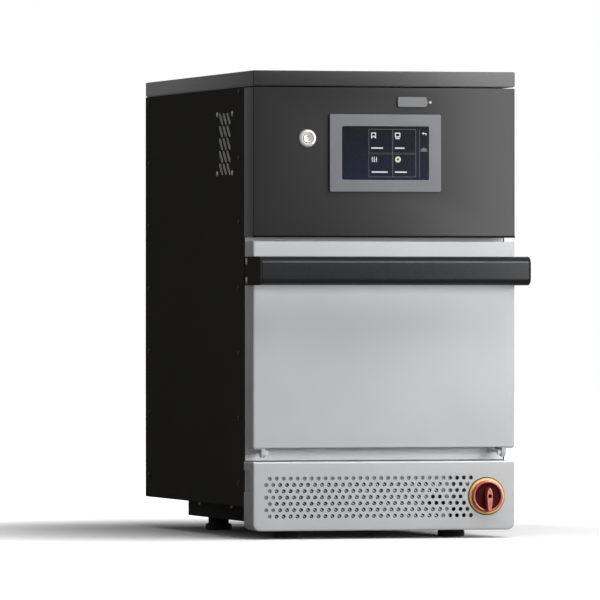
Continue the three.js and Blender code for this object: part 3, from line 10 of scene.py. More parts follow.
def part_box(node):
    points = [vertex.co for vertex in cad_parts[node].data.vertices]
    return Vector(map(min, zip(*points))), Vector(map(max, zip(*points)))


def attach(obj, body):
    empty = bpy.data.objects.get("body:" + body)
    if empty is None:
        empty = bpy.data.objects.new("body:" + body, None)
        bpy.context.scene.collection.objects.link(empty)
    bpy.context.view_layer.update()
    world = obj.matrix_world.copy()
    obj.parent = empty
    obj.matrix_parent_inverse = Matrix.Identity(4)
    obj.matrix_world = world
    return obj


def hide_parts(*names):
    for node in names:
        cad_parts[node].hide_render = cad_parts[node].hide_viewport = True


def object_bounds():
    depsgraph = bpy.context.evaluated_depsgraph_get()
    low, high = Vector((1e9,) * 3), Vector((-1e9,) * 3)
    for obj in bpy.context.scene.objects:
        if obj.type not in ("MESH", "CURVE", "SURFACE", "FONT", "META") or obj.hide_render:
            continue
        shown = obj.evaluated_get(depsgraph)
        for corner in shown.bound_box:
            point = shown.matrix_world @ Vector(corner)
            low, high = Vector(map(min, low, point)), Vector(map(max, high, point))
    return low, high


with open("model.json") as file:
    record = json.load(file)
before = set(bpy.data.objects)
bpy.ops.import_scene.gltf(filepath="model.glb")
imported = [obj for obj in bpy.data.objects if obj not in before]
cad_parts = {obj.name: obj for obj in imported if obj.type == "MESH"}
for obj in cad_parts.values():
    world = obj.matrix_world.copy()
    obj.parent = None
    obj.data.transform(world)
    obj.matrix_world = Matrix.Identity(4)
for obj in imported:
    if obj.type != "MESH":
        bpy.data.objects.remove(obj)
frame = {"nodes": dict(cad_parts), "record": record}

bl_info = {
    "name": "Countertop Oven Looks",
    "version": (1, 0, 0),
    "blender": (4, 5, 0),
    "location": "3D View > Sidebar > Oven",
    "description": "Builds the finishes and fine pieces of a countertop high-speed oven",
    "category": "Object",
}

CAD_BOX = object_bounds()
MM = 0.001
NEAR = 1e-6  # places closer than this, in metres, are the same
SHEET = 1.5 * MM
MARGIN = 3 * MM  # wider than any sheet is thick
FINE_STEPS, SMALL_STEPS, HEAD_STEPS, HOLE_STEPS, ARC_STEPS = 64, 32, 24, 16, 6
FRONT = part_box("door_skin")[0].y
LEFT, RIGHT, BACK = Vector((-1, 0, 0)), Vector((1, 0, 0)), Vector((0, 1, 0))
FORWARD, UP, DOWN = Vector((0, -1, 0)), Vector((0, 0, 1)), Vector((0, 0, -1))
SIDES = (("left", LEFT), ("right", RIGHT))
SLOTS = {part["node"]: part["material_slot"] for part in frame["record"]["subparts"]}


def linear(hex_colour):
    """An sRGB hex colour as linear red, green and blue."""
    parts = [int(hex_colour[i:i + 2], 16) / 255 for i in (1, 3, 5)]
    return tuple(c / 12.92 if c <= 0.04045 else ((c + 0.055) / 1.055) ** 2.4 for c in parts)


def rgba(colour):
    return (*colour, 1.0)


def behind_front(depth):
    """Y of a place that lies a depth in millimetres behind the door's front face."""
    return FRONT + depth * MM


def at(x, depth, height):
    """A place by its x in metres, and its depth and height in millimetres."""
    return Vector((x, behind_front(depth), height * MM))


def centre_of(node, y=None):
    """The middle of a CAD node's box, moved to a y where one is given."""
    low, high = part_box(node)
    middle = (low + high) / 2
    if y is not None:
        middle.y = y
    return middle


def per(size):
    """Pattern scale that gives cells of a size in millimetres."""
    return 1000 / size


def bands(period):
    """Wave scale that puts bands a period in millimetres apart."""
    return math.pi / 10 / (period * MM)


def colour_setting(name, text, hex_colour):
    default = linear(hex_colour)
    return bpy.props.FloatVectorProperty(
        name=name, description=text, default=default, size=3, min=0, max=1, subtype="COLOR"
    )


def length_setting(name, text, default):
    return bpy.props.FloatProperty(
        name=name, description=text, default=default * MM, min=0, unit="LENGTH", subtype="DISTANCE"
    )


class OvenColours(bpy.types.PropertyGroup):
    """Colours of the oven's finishes"""

    side_paint: colour_setting("Side paint", "Powder coat of the sides and the tray", "#2e2d2a")
    top_paint: colour_setting("Top paint", "Powder coat of the cover and the fascia", "#232324")
    door_paint: colour_setting("Door paint", "Powder coat of the door and the panel", "#b6b8ba")
    handle_paint: colour_setting("Handle paint", "Powder coat of the handle", "#202123")
    stainless: colour_setting("Stainless", "Brushed sheet in the cavity and the door", "#b1afab")
    zinc: colour_setting("Zinc", "Plated sheet at the back and the base", "#a8aaa8")
    bezel: colour_setting("Bezel", "Moulded frame round the screen", "#4a4b4f")
    screen_top: colour_setting("Screen top", "Screen ground at its top edge", "#121316")
    screen_foot: colour_setting("Screen foot", "Screen ground at its lower edge", "#1a1c31")
    knob: colour_setting("Knob", "Moulded red of the switch knob", "#9f4638")
    # The knob's sunken face: its red darkened as painted shade
    knob_dish_painted_shade: colour_setting("Knob dish", "Deeper red of the knob's sunken face", "#380b0d")
    escutcheon: colour_setting("Switch plate", "Moulded yellow of the switch plate", "#d3a04e")
    port_cover: colour_setting("Port cover", "Grey rubber of the port cover", "#515356")


class OvenSizes(bpy.types.PropertyGroup):
    """Sizes of the fine work that the solids leave out"""

    sheet_edge: length_setting("Sheet edge", "Radius on folded sheet edges", 0.5)
    cover_edge: length_setting("Cover edge", "Radius on the top cover's folds", 1.2)
    door_edge: length_setting("Door edge", "Radius on the door's upright front edges", 3.0)
    door_top_edge: length_setting("Door top edge", "Radius on the door's level front edges", 1.0)
    screw_radius: length_setting("Screw radius", "Radius of the pan head screws", 3.2)
    rivet_radius: length_setting("Rivet radius", "Radius of the cooling fan's rivets", 4.0)
    handle_screw_radius: length_setting("Handle screw radius", "Radius of the handle's screws", 4.5)
    hole_radius: length_setting("Hole radius", "Radius of the holes in the filter panel", 2.72)


def colours():
    return bpy.context.scene.oven_colours


def sizes():
    return bpy.context.scene.oven_sizes


# Materials

MIX_FIRST, MIX_SECOND, MIX_RESULT = 6, 7, 2  # colour sockets of the mix node
MIX_COLOURS = {"data_type": "RGBA"}
NOISE_SPAN = (0.3, 0.7)  # nearly all of a noise lies between these
RANGE = ("From Min", "From Max", "To Min", "To Max")  # sockets of the map range node


def add_node(tree, kind, settings=None, values=None, links=None):
    """Adds a node with its settings, its input values and the sockets that feed it."""
    made = tree.nodes.new(kind)
    for name, value in (settings or {}).items():
        setattr(made, name, value)
    for name, value in (values or {}).items():
        made.inputs[name].default_value = value
    for name, source in (links or {}).items():
        tree.links.new(source, made.inputs[name])
    return made


def surface(name, **values):
    """A material with its shader's own sockets set, and the object coordinates."""
    material = bpy.data.materials.new(name)
    material.use_nodes = True
    tree = material.node_tree
    shader = tree.nodes["Principled BSDF"]
    for socket, value in values.items():
        shader.inputs[socket.replace("_", " ")].default_value = value
    place = add_node(tree, "ShaderNodeTexCoord").outputs["Object"]
    return material, tree, shader, place


def drive(tree, shader, factor, tone=None, span=None, rough=None, depth=0, socket="Base Color"):
    """Runs the colour between two tones, the roughness and the relief in mm by one factor."""
    if tone:
        share = factor
        if span:
            ends = dict(zip(RANGE, span))
            spread = add_node(tree, "ShaderNodeMapRange", None, ends, {"Value": factor})
            share = spread.outputs["Result"]
        ends = {MIX_FIRST: rgba(tone[0]), MIX_SECOND: rgba(tone[1])}
        mix = add_node(tree, "ShaderNodeMix", MIX_COLOURS, ends, {"Factor": share})
        tree.links.new(mix.outputs[MIX_RESULT], shader.inputs[socket])
    if rough:
        ends = dict(zip(RANGE, (*NOISE_SPAN, *rough)))
        spread = add_node(tree, "ShaderNodeMapRange", None, ends, {"Value": factor})
        tree.links.new(spread.outputs["Result"], shader.inputs["Roughness"])
    if depth:
        bump = add_node(tree, "ShaderNodeBump", None, {"Distance": depth * MM}, {"Height": factor})
        tree.links.new(bump.outputs["Normal"], shader.inputs["Normal"])


def patterned(tree, shader, place, texture, values, settings=None, output="Fac", **driven):
    """Adds a texture and lets it drive the shader."""
    node = add_node(tree, f"ShaderNodeTex{texture}", settings, values, {"Vector": place})
    drive(tree, shader, node.outputs[output], **driven)


def lighter(colour, share):
    return tuple(min(c * (1 + share), 1) for c in colour)


def darker(colour, share):
    return tuple(c * (1 - share) for c in colour)


def tones(colour, down, up):
    return darker(colour, down), lighter(colour, up)


def even(name, tone, drift, grain, detail, depth, roughness, values):
    """One even colour that drifts a little, under a fine relief."""
    material, tree, shader, place = surface(name, **values)
    patterned(tree, shader, place, "Noise", {"Scale": per(drift)}, tone=tone, span=NOISE_SPAN)
    relief, rough = {"Scale": per(grain), "Detail": detail}, (roughness - 0.05, roughness + 0.05)
    patterned(tree, shader, place, "Noise", relief, rough=rough, depth=depth)
    return material


def grained(name, tone, size, detail, rough=None, depth=0, contrast=0.5, stretch=None, **values):
    """A surface whose colour, shine and relief follow one noise."""
    material, tree, shader, place = surface(name, **values)
    if stretch:
        stretched = add_node(tree, "ShaderNodeMapping", None, {"Scale": stretch}, {"Vector": place})
        place = stretched.outputs["Vector"]
    grain = {"Scale": per(size), "Detail": detail, "Roughness": contrast}
    driven = {"tone": tone, "span": NOISE_SPAN, "rough": rough, "depth": depth}
    patterned(tree, shader, place, "Noise", grain, **driven)
    return material


def powder_coat(name, colour, grain, depth, roughness, **values):
    """Sprayed and baked powder: an even colour under a fine orange peel."""
    return even(name, tones(colour, 0.05, 0.02), 120, grain, 3, depth, roughness, values)


def powder_coat_black(name):
    """Textured powder coat: its grit breaks up every highlight, so the sides stay nearly black."""
    return powder_coat(name, colours().side_paint, 2.2, 0.1, 0.62, Specular_IOR_Level=0.01)


def powder_coat_anthracite(name):
    """Fine satin powder coat: dark, with a broad soft reflection of the window side."""
    return powder_coat(name, colours().top_paint, 2.4, 0.03, 0.34, Specular_IOR_Level=0.125)


def powder_coat_cover(name):
    """The cover's dark coat: a little glossier, so its front edge brightens to the right."""
    colour = darker(colours().top_paint, 0.3)
    return powder_coat(name, colour, 2.4, 0.03, 0.34, Specular_IOR_Level=0.24)


def powder_coat_silver(name):
    """Smooth satin powder coat: pale grey with very little peel."""
    return powder_coat(name, colours().door_paint, 3.0, 0.02, 0.38, Specular_IOR_Level=0.08)


# Height of the painted highlight band along the filter panel's top edge
PANEL_TOP_HIGHLIGHT = 2 * MM


def powder_coat_panel(name):
    """The panel's silver coat: a little deeper than the door's, with a painted highlight along its
    top edge.
    """
    colour = darker(colours().door_paint, 0.07)
    material = powder_coat(name, colour, 3.0, 0.02, 0.4, Specular_IOR_Level=0.06)
    tree = material.node_tree
    coat = tree.nodes["Principled BSDF"].inputs["Base Color"]
    place = add_node(tree, "ShaderNodeTexCoord").outputs["Object"]
    up = add_node(tree, "ShaderNodeSeparateXYZ", links={"Vector": place}).outputs["Z"]
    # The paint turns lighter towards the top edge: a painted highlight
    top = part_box("filter_panel")[1].z
    span = dict(zip(RANGE, (top - PANEL_TOP_HIGHLIGHT, top - PANEL_TOP_HIGHLIGHT / 2)))
    top_highlight = add_node(tree, "ShaderNodeMapRange", None, span, {"Value": up}).outputs["Result"]
    pale = {MIX_SECOND: rgba(lighter(colour, 0.6))}
    links = {"Factor": top_highlight, MIX_FIRST: coat.links[0].from_socket}
    tint = add_node(tree, "ShaderNodeMix", MIX_COLOURS, pale, links)
    tree.links.new(tint.outputs[MIX_RESULT], coat)
    return material


def frame_coat_painted_light(name):
    """The frame's silver coat: paler than the door's, as painted light, so the shaded recess behind
    the door looks as light as the door.
    """
    return powder_coat(name, linear("#e0e2e4"), 3.0, 0.02, 0.4, Specular_IOR_Level=0.06)


def powder_coat_handle(name):
    """Satin black powder coat: a clear band of light along the bar's upper curve."""
    return powder_coat(name, colours().handle_paint, 1.8, 0.03, 0.3, Specular_IOR_Level=0.11)


def brushed_stainless(name):
    """Brushed stainless sheet: fine lines that draw the highlights out across them."""
    tone = tones(colours().stainless, 0.12, 0.1)
    # Real lines are 0.1 mm apart, drawn here at 1.4 mm so that they show
    lines = {"rough": (0.3, 0.42), "depth": 0.02, "contrast": 0.65, "stretch": (0.03, 1, 1)}
    return grained(name, tone, 1.4, 4, **lines, Metallic=1.0, Anisotropic=0.4)


def turned_stainless(name):
    """Satin turned stainless: half its light is spread, so the cap is even and the ring shines."""
    colour = colours().stainless
    material, tree, shader, place = surface(name, Metallic=0.25)
    shift = {"Location": -centre_of("power_button_ring")}
    moved = add_node(tree, "ShaderNodeMapping", None, shift, {"Vector": place}).outputs["Vector"]
    # Real rings are 0.1 mm apart, drawn here at 3 mm so that they show
    rings = {"Scale": bands(3), "Distortion": 0.3}
    kind = {"wave_type": "RINGS", "rings_direction": "Y"}
    tone = (darker(colour, 0.08), colour)
    patterned(tree, shader, moved, "Wave", rings, kind, tone=tone, rough=(0.3, 0.36))
    return material


def zinc_plated_sheet(name):
    """Hot dipped sheet: pale metal with large crystals that turn the light a little apart."""
    material, tree, shader, place = surface(name, Metallic=0.9)
    crystals, tone = {"Scale": per(9)}, tones(colours().zinc, 0.22, 0.12)
    driven = {"output": "Color", "tone": tone, "rough": (0.38, 0.52)}
    patterned(tree, shader, place, "Voronoi", crystals, **driven)
    patterned(tree, shader, place, "Noise", {"Scale": per(4)}, depth=0.02)
    return material


def zinc_plated_steel(name):
    """Plated screw heads and rivets: small bright points."""
    return grained(name, tones(linear("#a9a9a6"), 0.18, 0.1), 1.5, 4, (0.3, 0.45), Metallic=1.0)


def polished_aluminium(name):
    """Bright rims in the grille's slots: they catch what little light reaches the side."""
    return grained(name, tones(linear("#dcdcda"), 0.15, 0.05), 2, 3, (0.35, 0.45), Metallic=1.0)


def phosphated_steel(name):
    """Black screws: phosphate leaves a dull grey shine on the domes."""
    return grained(name, (linear("#18181a"), linear("#2c2c2e")), 1.5, 4, (0.35, 0.5), Metallic=0.6)


def etched_steel(name):
    """The etched symbol: darker than the turned steel round it."""
    return grained(name, (linear("#5c5d60"), linear("#747578")), 0.8, 3, (0.5, 0.65), Metallic=0.8)


def moulded(name, colour, grain, depth, roughness, **values):
    """Moulded plastic or rubber: a spark eroded grain in one even colour."""
    return even(name, tones(colour, 0.06, 0.03), 40, grain, 2, depth, roughness, values)


def moulded_grey_abs(name):
    """Matt ABS of the screen's frame: a fine grain without gloss."""
    return moulded(name, colours().bezel, 1.1, 0.02, 0.55, Specular_IOR_Level=0.38)


def moulded_black_nylon(name):
    """Black nylon of small fittings: slightly soft highlights."""
    return moulded(name, linear("#1d1d1f"), 1.5, 0.03, 0.55)


def moulded_white_nylon(name):
    """Off white nylon of the fan wheel: pale and even behind the grille."""
    return moulded(name, linear("#b9bab8"), 1.5, 0.02, 0.5)


def moulded_red_polycarbonate(name):
    """Deep red moulding: a glossy skin that darkens where it dips."""
    return moulded(name, colours().knob, 3.0, 0.01, 0.28, Coat_Weight=0.2, Coat_Roughness=0.15)


def knob_red_painted_shade(name):
    """The knob's sunken face and the floor of the lever's hole: the same red in a deeper tone, as
    painted shade, so the rim stands out.
    """
    return moulded(name, colours().knob_dish_painted_shade, 3.0, 0.01, 0.5, Specular_IOR_Level=0.03)


def moulded_yellow_nylon(name):
    """Warm yellow moulding under the knob: satin and even."""
    return moulded(name, colours().escutcheon, 2.0, 0.02, 0.45)


def moulded_grey_nylon(name):
    """Mid grey nylon of the filter's frame: matt, seen through the outer holes."""
    return moulded(name, linear("#77787a"), 1.5, 0.02, 0.6, Specular_IOR_Level=0.2)


def charcoal_foam(name):
    """Open cell foam of the filter's pad: it swallows the light between the strands."""
    material, tree, shader, place = surface(name, Roughness=1.0, Specular_IOR_Level=0.0)
    cells, tone = {"Scale": per(1.8)}, (linear("#0a0a0b"), linear("#232325"))
    patterned(tree, shader, place, "Voronoi", cells, output="Distance", tone=tone, depth=0.5)
    return material


def moulded_grey_silicone(name):
    """Grey silicone of the port's cover: soft and matt with a faint sheen."""
    return moulded(name, colours().port_cover, 0.9, 0.02, 0.7, Sheen_Weight=0.15)


def moulded_black_rubber(name):
    """Black rubber of the feet: no gloss at all."""
    return moulded(name, linear("#161616"), 1.6, 0.05, 0.85, Sheen_Weight=0.1)


def painted_joint_shadow(name):
    """Near-black strips of painted shadow in the joints under the fascia and above the filter
    panel: they give back next to no light.
    """
    return moulded(name, linear("#0d0d0d"), 1.6, 0.04, 0.9, Specular_IOR_Level=0.03)


def display_glass(name):
    """A lit screen behind matt touch glass: dark, bluer towards its foot."""
    low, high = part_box("touch_screen")
    material, tree, shader, place = surface(
        name, Base_Color=rgba(linear("#08080a")), Specular_IOR_Level=0.06, Emission_Strength=1.0
    )
    height = add_node(tree, "ShaderNodeSeparateXYZ", links={"Vector": place}).outputs["Z"]
    glow = (colours().screen_foot, colours().screen_top)
    drive(tree, shader, height, glow, (low.z, high.z), socket="Emission Color")
    patterned(tree, shader, place, "Noise", {"Scale": per(2)}, rough=(0.22, 0.3))
    return material


def lit(name, hex_colour, strength):
    """A lit patch of the screen, a little uneven as a backlight is."""
    colour = linear(hex_colour)
    material, tree, shader, place = surface(
        name, Base_Color=rgba(linear("#0c0c0e")), Roughness=0.3, Emission_Strength=strength
    )
    driven = {"tone": (darker(colour, 0.1), colour), "socket": "Emission Color"}
    patterned(tree, shader, place, "Noise", {"Scale": per(6)}, **driven)
    return material


def lit_white(name):
    """White screen symbols."""
    return lit(name, "#e6e6ea", 0.9)


def lit_line(name):
    """Thin grey blue screen lines."""
    return lit(name, "#565866", 0.8)


def lit_dim(name):
    """The dim mark in the screen's right column."""
    return lit(name, "#45454e", 0.8)


def lit_cream(name):
    """The ring symbol, slightly yellow."""
    return lit(name, "#dcdcb4", 0.9)


def cordierite(name):
    """Unglazed cordierite: sandy, matt and speckled."""
    return grained(name, tones(linear("#cbbfa6"), 0.25, 0.15), 2.5, 5, (0.8, 0.95), 0.15, 0.7)


def mineral_wool(name):
    """Pressed mineral wool board: pale, with matted fibres lying in the board's plane."""
    tone = tones(linear("#c6bd9f"), 0.3, 0.15)
    fibres = {"depth": 0.4, "contrast": 0.7, "stretch": (0.25, 0.25, 1)}
    return grained(name, tone, 3, 5, **fibres, Roughness=0.95, Sheen_Weight=0.2)


def woven_glass_fibre(name):
    """Braided glass fibre rope: crossing strands about 2 mm wide."""
    material, tree, shader, place = surface(name, Roughness=0.9, Sheen_Weight=0.2)
    wave = {"Scale": bands(2), "Distortion": 0.8, "Detail": 1.0}
    strands = {}
    for i, way in enumerate(("DIAGONAL", "X")):
        across = {"bands_direction": way}
        node = add_node(tree, "ShaderNodeTexWave", across, wave, {"Vector": place})
        strands[i] = node.outputs["Fac"]
    weave = add_node(tree, "ShaderNodeMath", {"operation": "MULTIPLY"}, None, strands)
    tone = tones(linear("#5c5952"), 0.4, 0.25)
    drive(tree, shader, weave.outputs["Value"], tone, depth=0.4)
    return material


def expanded_aluminium(name):
    """Expanded aluminium mesh: dull strands with brighter sheared edges."""
    return grained(name, tones(linear("#8b8c8a"), 0.35, 0.2), 2.5, 3, (0.35, 0.6), Metallic=0.9)


def heat_tinted_steel(name):
    """The element's sheath: brown and blue from its own heat."""
    material, tree, shader, place = surface(name, Metallic=1.0)
    bloom, tone = {"Scale": per(25), "Detail": 3}, (linear("#3a2c24"), linear("#5b5c66"))
    patterned(tree, shader, place, "Noise", bloom, tone=tone, span=NOISE_SPAN)
    patterned(tree, shader, place, "Noise", {"Scale": per(3)}, rough=(0.45, 0.6))
    return material


def varnished_iron(name):
    """Laminated core with its varnished winding: brown, with thin lines between the plates."""
    material, tree, shader, place = surface(name, Metallic=0.5)
    plates, kind = {"Scale": bands(2.5), "Distortion": 0.3}, {"bands_direction": "Y"}
    tone = (linear("#3f342b"), linear("#7b654f"))
    patterned(tree, shader, place, "Wave", plates, kind, tone=tone, depth=0.1)
    patterned(tree, shader, place, "Noise", {"Scale": per(4)}, rough=(0.45, 0.6))
    return material


def solder_masked_board(name):
    """Green solder mask with paler tracks under it."""
    material, tree, shader, place = surface(name)
    tracks, kind = {"Scale": per(7)}, {"distance": "CHEBYCHEV", "feature": "F1"}
    tone = (linear("#1f5a35"), linear("#3d7d4c"))
    patterned(tree, shader, place, "Voronoi", tracks, kind, "Distance", tone=tone, depth=0.05)
    patterned(tree, shader, place, "Noise", {"Scale": per(3)}, rough=(0.35, 0.5))
    return material


def finish_of(maker):
    """The material that a maker function gives, made on its first use."""
    return bpy.data.materials.get(maker.__name__) or maker(maker.__name__)


# The finish of each material slot in the record
SLOT_FINISHES = {
    "dark_paint": powder_coat_black,
    "anthracite_paint": powder_coat_anthracite,
    "silver_paint": powder_coat_silver,
    "handle_paint": powder_coat_handle,
    "stainless": brushed_stainless,
    "zinc_sheet": zinc_plated_sheet,
    "bezel_plastic": moulded_grey_abs,
    "screen_glass": display_glass,
    "button_steel": turned_stainless,
    "grey_rubber": moulded_grey_silicone,
    "black_rubber": moulded_black_rubber,
    "black_plastic": moulded_black_nylon,
    "white_plastic": moulded_white_nylon,
    "red_plastic": moulded_red_polycarbonate,
    "yellow_plastic": moulded_yellow_nylon,
    "cordierite": cordierite,
    "mineral_wool": mineral_wool,
    "gasket_braid": woven_glass_fibre,
    "filter_mesh": expanded_aluminium,
    "heater_sheath": heat_tinted_steel,
    "copper_iron": varnished_iron,
    "circuit_board": solder_masked_board,
}


# Shapes

FLAT_ANGLE = 0.5  # degrees between faces that lie in one plane
CAD_WELD, TURNED_WELD = 0.01 * MM, 1e-7  # corners closer than this are joined
# Half a head's outline, as shares of its radius and its height
PAN_HEAD = ((0, 0.3), (0.36, 0.3), (0.36, 0.94), (0.6, 1), (0.86, 0.72), (1, 0.3))
RIVET_HEAD = ((0, 0.5), (0.26, 0.6), (0.34, 1), (0.72, 0.9), (1, 0.35))
HEAD_SINK = 0.1  # how deep a head sits in its sheet


def from_node(node):
    """A copy of a CAD node with its triangles joined and its flat faces whole."""
    bm = bmesh.new()
    bm.from_mesh(frame["nodes"][node].data)
    bmesh.ops.remove_doubles(bm, verts=bm.verts, dist=CAD_WELD)
    bmesh.ops.dissolve_limit(
        bm, angle_limit=math.radians(FLAT_ANGLE), verts=bm.verts, edges=bm.edges,
        use_dissolve_boundaries=False,
    )
    return bm


def block(bm, x, y, z):
    """A block between ranges in metres."""
    verts = bmesh.ops.create_cube(bm, size=1)["verts"]
    spans = Vector((x[1] - x[0], y[1] - y[0], z[1] - z[0]))
    middle = Vector((x[0] + x[1], y[0] + y[1], z[0] + z[1])) / 2
    bmesh.ops.scale(bm, vec=spans, verts=verts)
    bmesh.ops.translate(bm, vec=middle, verts=verts)
    return verts


def edges_along(verts, axis):
    """Edges among the given vertices that run along an axis."""
    found = dict.fromkeys(edge for vert in verts for edge in vert.link_edges)
    spans = {edge: edge.verts[0].co - edge.verts[1].co for edge in found}
    others = [i for i in range(3) if i != axis]
    return [edge for edge, span in spans.items() if all(abs(span[i]) < NEAR for i in others)]


def rounded(bm, edges, radius, steps=ARC_STEPS):
    bmesh.ops.bevel(
        bm, geom=edges, offset=radius, offset_type="OFFSET", segments=steps, profile=0.5,
        affect="EDGES", clamp_overlap=True, material=-1,
    )


def slab(bm, x, y, z, corner):
    """A block whose corners are round as seen from the front."""
    rounded(bm, edges_along(block(bm, x, y, z), 1), corner)


def spun(bm, profile, centre, axis, steps=FINE_STEPS, closed=False):
    """Turns a profile of radius and place along the axis, in millimetres, about a line."""
    side = BACK if axis.x else RIGHT
    verts = [bm.verts.new(centre + (side * r + axis * a) * MM) for r, a in profile]
    pairs = list(zip(verts, verts[1:]))
    if closed:
        pairs.append((verts[-1], verts[0]))
    geom, turn = verts + [bm.edges.new(pair) for pair in pairs], 2 * math.pi
    bmesh.ops.spin(
        bm, geom=geom, cent=centre, axis=axis, angle=turn, steps=steps, use_merge=True
    )
    bmesh.ops.remove_doubles(bm, verts=bm.verts, dist=TURNED_WELD)
    bmesh.ops.recalc_face_normals(bm, faces=bm.faces)


def outer_edges(bm):
    """Edges that lie along the box round the whole shape."""
    points = [vert.co for vert in bm.verts]
    limits = [(min(p[i] for p in points), max(p[i] for p in points)) for i in range(3)]

    def on_limit(edge, i):
        ends = [vert.co[i] for vert in edge.verts]
        return any(all(abs(end - limit) < NEAR for end in ends) for limit in limits[i])

    return [edge for edge in bm.edges if sum(on_limit(edge, i) for i in range(3)) == 2]


def slot_ends(bm, axis):
    """Short edges through a sheet, at the ends of its slots."""
    others = [i for i in range(3) if i != axis]
    box = [(min(v.co[i] for v in bm.verts), max(v.co[i] for v in bm.verts)) for i in others]
    found = []
    for edge in edges_along(bm.verts, axis):
        place = edge.verts[0].co
        inside = all(low + MARGIN < place[i] < high - MARGIN for i, (low, high) in zip(others, box))
        if inside and edge.calc_length() < MARGIN:
            found.append(edge)
    return found


def moved_apart(bm, faces, vec):
    """Gives flat faces a thickness and points every face outwards."""
    made = bmesh.ops.extrude_face_region(bm, geom=faces)["geom"]
    bmesh.ops.translate(bm, vec=vec, verts=[v for v in made if isinstance(v, bmesh.types.BMVert)])
    bmesh.ops.recalc_face_normals(bm, faces=bm.faces)


def filled(bm, loops, edges=()):
    """Fills closed lines, the inner ones as holes, and gives the faces."""
    edges = list(edges)
    for points in loops:
        verts = [bm.verts.new(point) for point in points]
        edges += [bm.edges.new(pair) for pair in zip(verts, verts[1:] + verts[:1])]
    made = bmesh.ops.triangle_fill(bm, use_beauty=True, use_dissolve=False, edges=edges)["geom"]
    return [face for face in made if isinstance(face, bmesh.types.BMFace)]


def circle(centre, radius, steps):
    """Points of a circle that faces forward."""
    turns = [i / steps * 2 * math.pi for i in range(steps)]
    return [centre + Vector((math.cos(t), 0, math.sin(t))) * radius for t in turns]


def head(bm, shape, place, outward, radius, height):
    """The head of a screw or a rivet, with its socket or dimple, on a sheet's face."""
    profile = [(radius * across, height * up) for across, up in shape]
    profile += [(radius, -HEAD_SINK), (0, -HEAD_SINK)]
    spun(bm, profile, place, outward, HEAD_STEPS)


def finished(name, bm, body, slot, maker=None, nodes=(), edge=0.0, segments=3, angle=35):
    """Makes the piece, rounds its edges sharper than an angle and joins it to its body."""
    mesh = bpy.data.meshes.new(name)
    bm.to_mesh(mesh)
    bm.free()
    if "custom_normal" in mesh.attributes:
        mesh.attributes.remove(mesh.attributes["custom_normal"])
    for polygon in mesh.polygons:
        polygon.use_smooth = True
    piece = bpy.data.objects.new(name, mesh)
    bpy.context.scene.collection.objects.link(piece)
    if edge:
        bevel = piece.modifiers.new("rounded_edges", "BEVEL")
        bevel.width = edge
        bevel.segments = segments
        bevel.limit_method = "ANGLE"
        bevel.angle_limit = math.radians(angle)
        bevel.harden_normals = True
    else:
        mesh.set_sharp_from_angle(angle=math.radians(angle))
    mesh.materials.append(finish_of(maker or SLOT_FINISHES[slot]))
    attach(piece, body)
    if nodes:
        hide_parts(*nodes)


def turned(name, profile, centre, axis, body, slot, maker=None, nodes=(), closed=False, angle=35):
    """A piece that is one turned profile."""
    bm = bmesh.new()
    spun(bm, profile, centre, axis, closed=closed)
    finished(name, bm, body, slot, maker, nodes, angle=angle)


def boxed(name, x, y, z, body, slot, maker, edge=0.0):
    """A piece that is one block."""
    bm = bmesh.new()
    block(bm, x, y, z)
    finished(name, bm, body, slot, maker, (), edge)


def dressed_copies(nodes, body, edge, segments=3, angle=35):
    """The CAD nodes' own shapes with rounded edges."""
    for node in nodes:
        name = f"{node}_finished"
        finished(name, from_node(node), body, SLOTS[node], None, [node], edge, segments, angle)


# Stage

CAMERA_AZIMUTH = math.radians(14.86)
CAMERA_PLACE = (-2.6714, behind_front(-9630.4), 0.3166)
CAMERA_LENS = 452.2
FLOOR_SIZE = 15.0
LAMP_TARGET = Vector((0, 0, 0.3))
# Place, width and height, power, and whether it lights matt surfaces and shows in gloss
LAMPS = {
    "front_softbox": ((1.1, -4.2, 0.75), (1.8, 1.1), 114, True, False),
    "top_softbox": ((0.6, -1.5, 3.2), (2.6, 2.0), 84, True, False),
    "top_sheen": ((0.6, -1.5, 3.2), (2.6, 2.0), 30, False, True),
    "right_fill": ((2.1, -0.64, 1.2), (0.8, 0.8), 20, True, False),
    "handle_glint": ((1.2, -2.4, 2.1), (1.8, 0.35), 150, False, True),
    "right_strip": ((0.62, -1.0, 0.45), (0.5, 1.2), 25, False, True),
}
ROOM_LIGHT = 0.17
ROOM_GLOSS = 0.5  # the room as glossy surfaces mirror it
FLOOR_SHADOW_REACH = (0.33, 1.02)  # the floor's own light rises between these distances
FLOOR_GLOW = (0.003, 1.0)


def seen_rays(tree):
    """1 for rays that show a surface to the camera, directly or through glass."""
    rays = add_node(tree, "ShaderNodeLightPath").outputs
    shown = {0: rays["Is Camera Ray"], 1: rays["Is Transmission Ray"]}
    return add_node(tree, "ShaderNodeMath", {"operation": "MAXIMUM"}, None, shown).outputs["Value"]


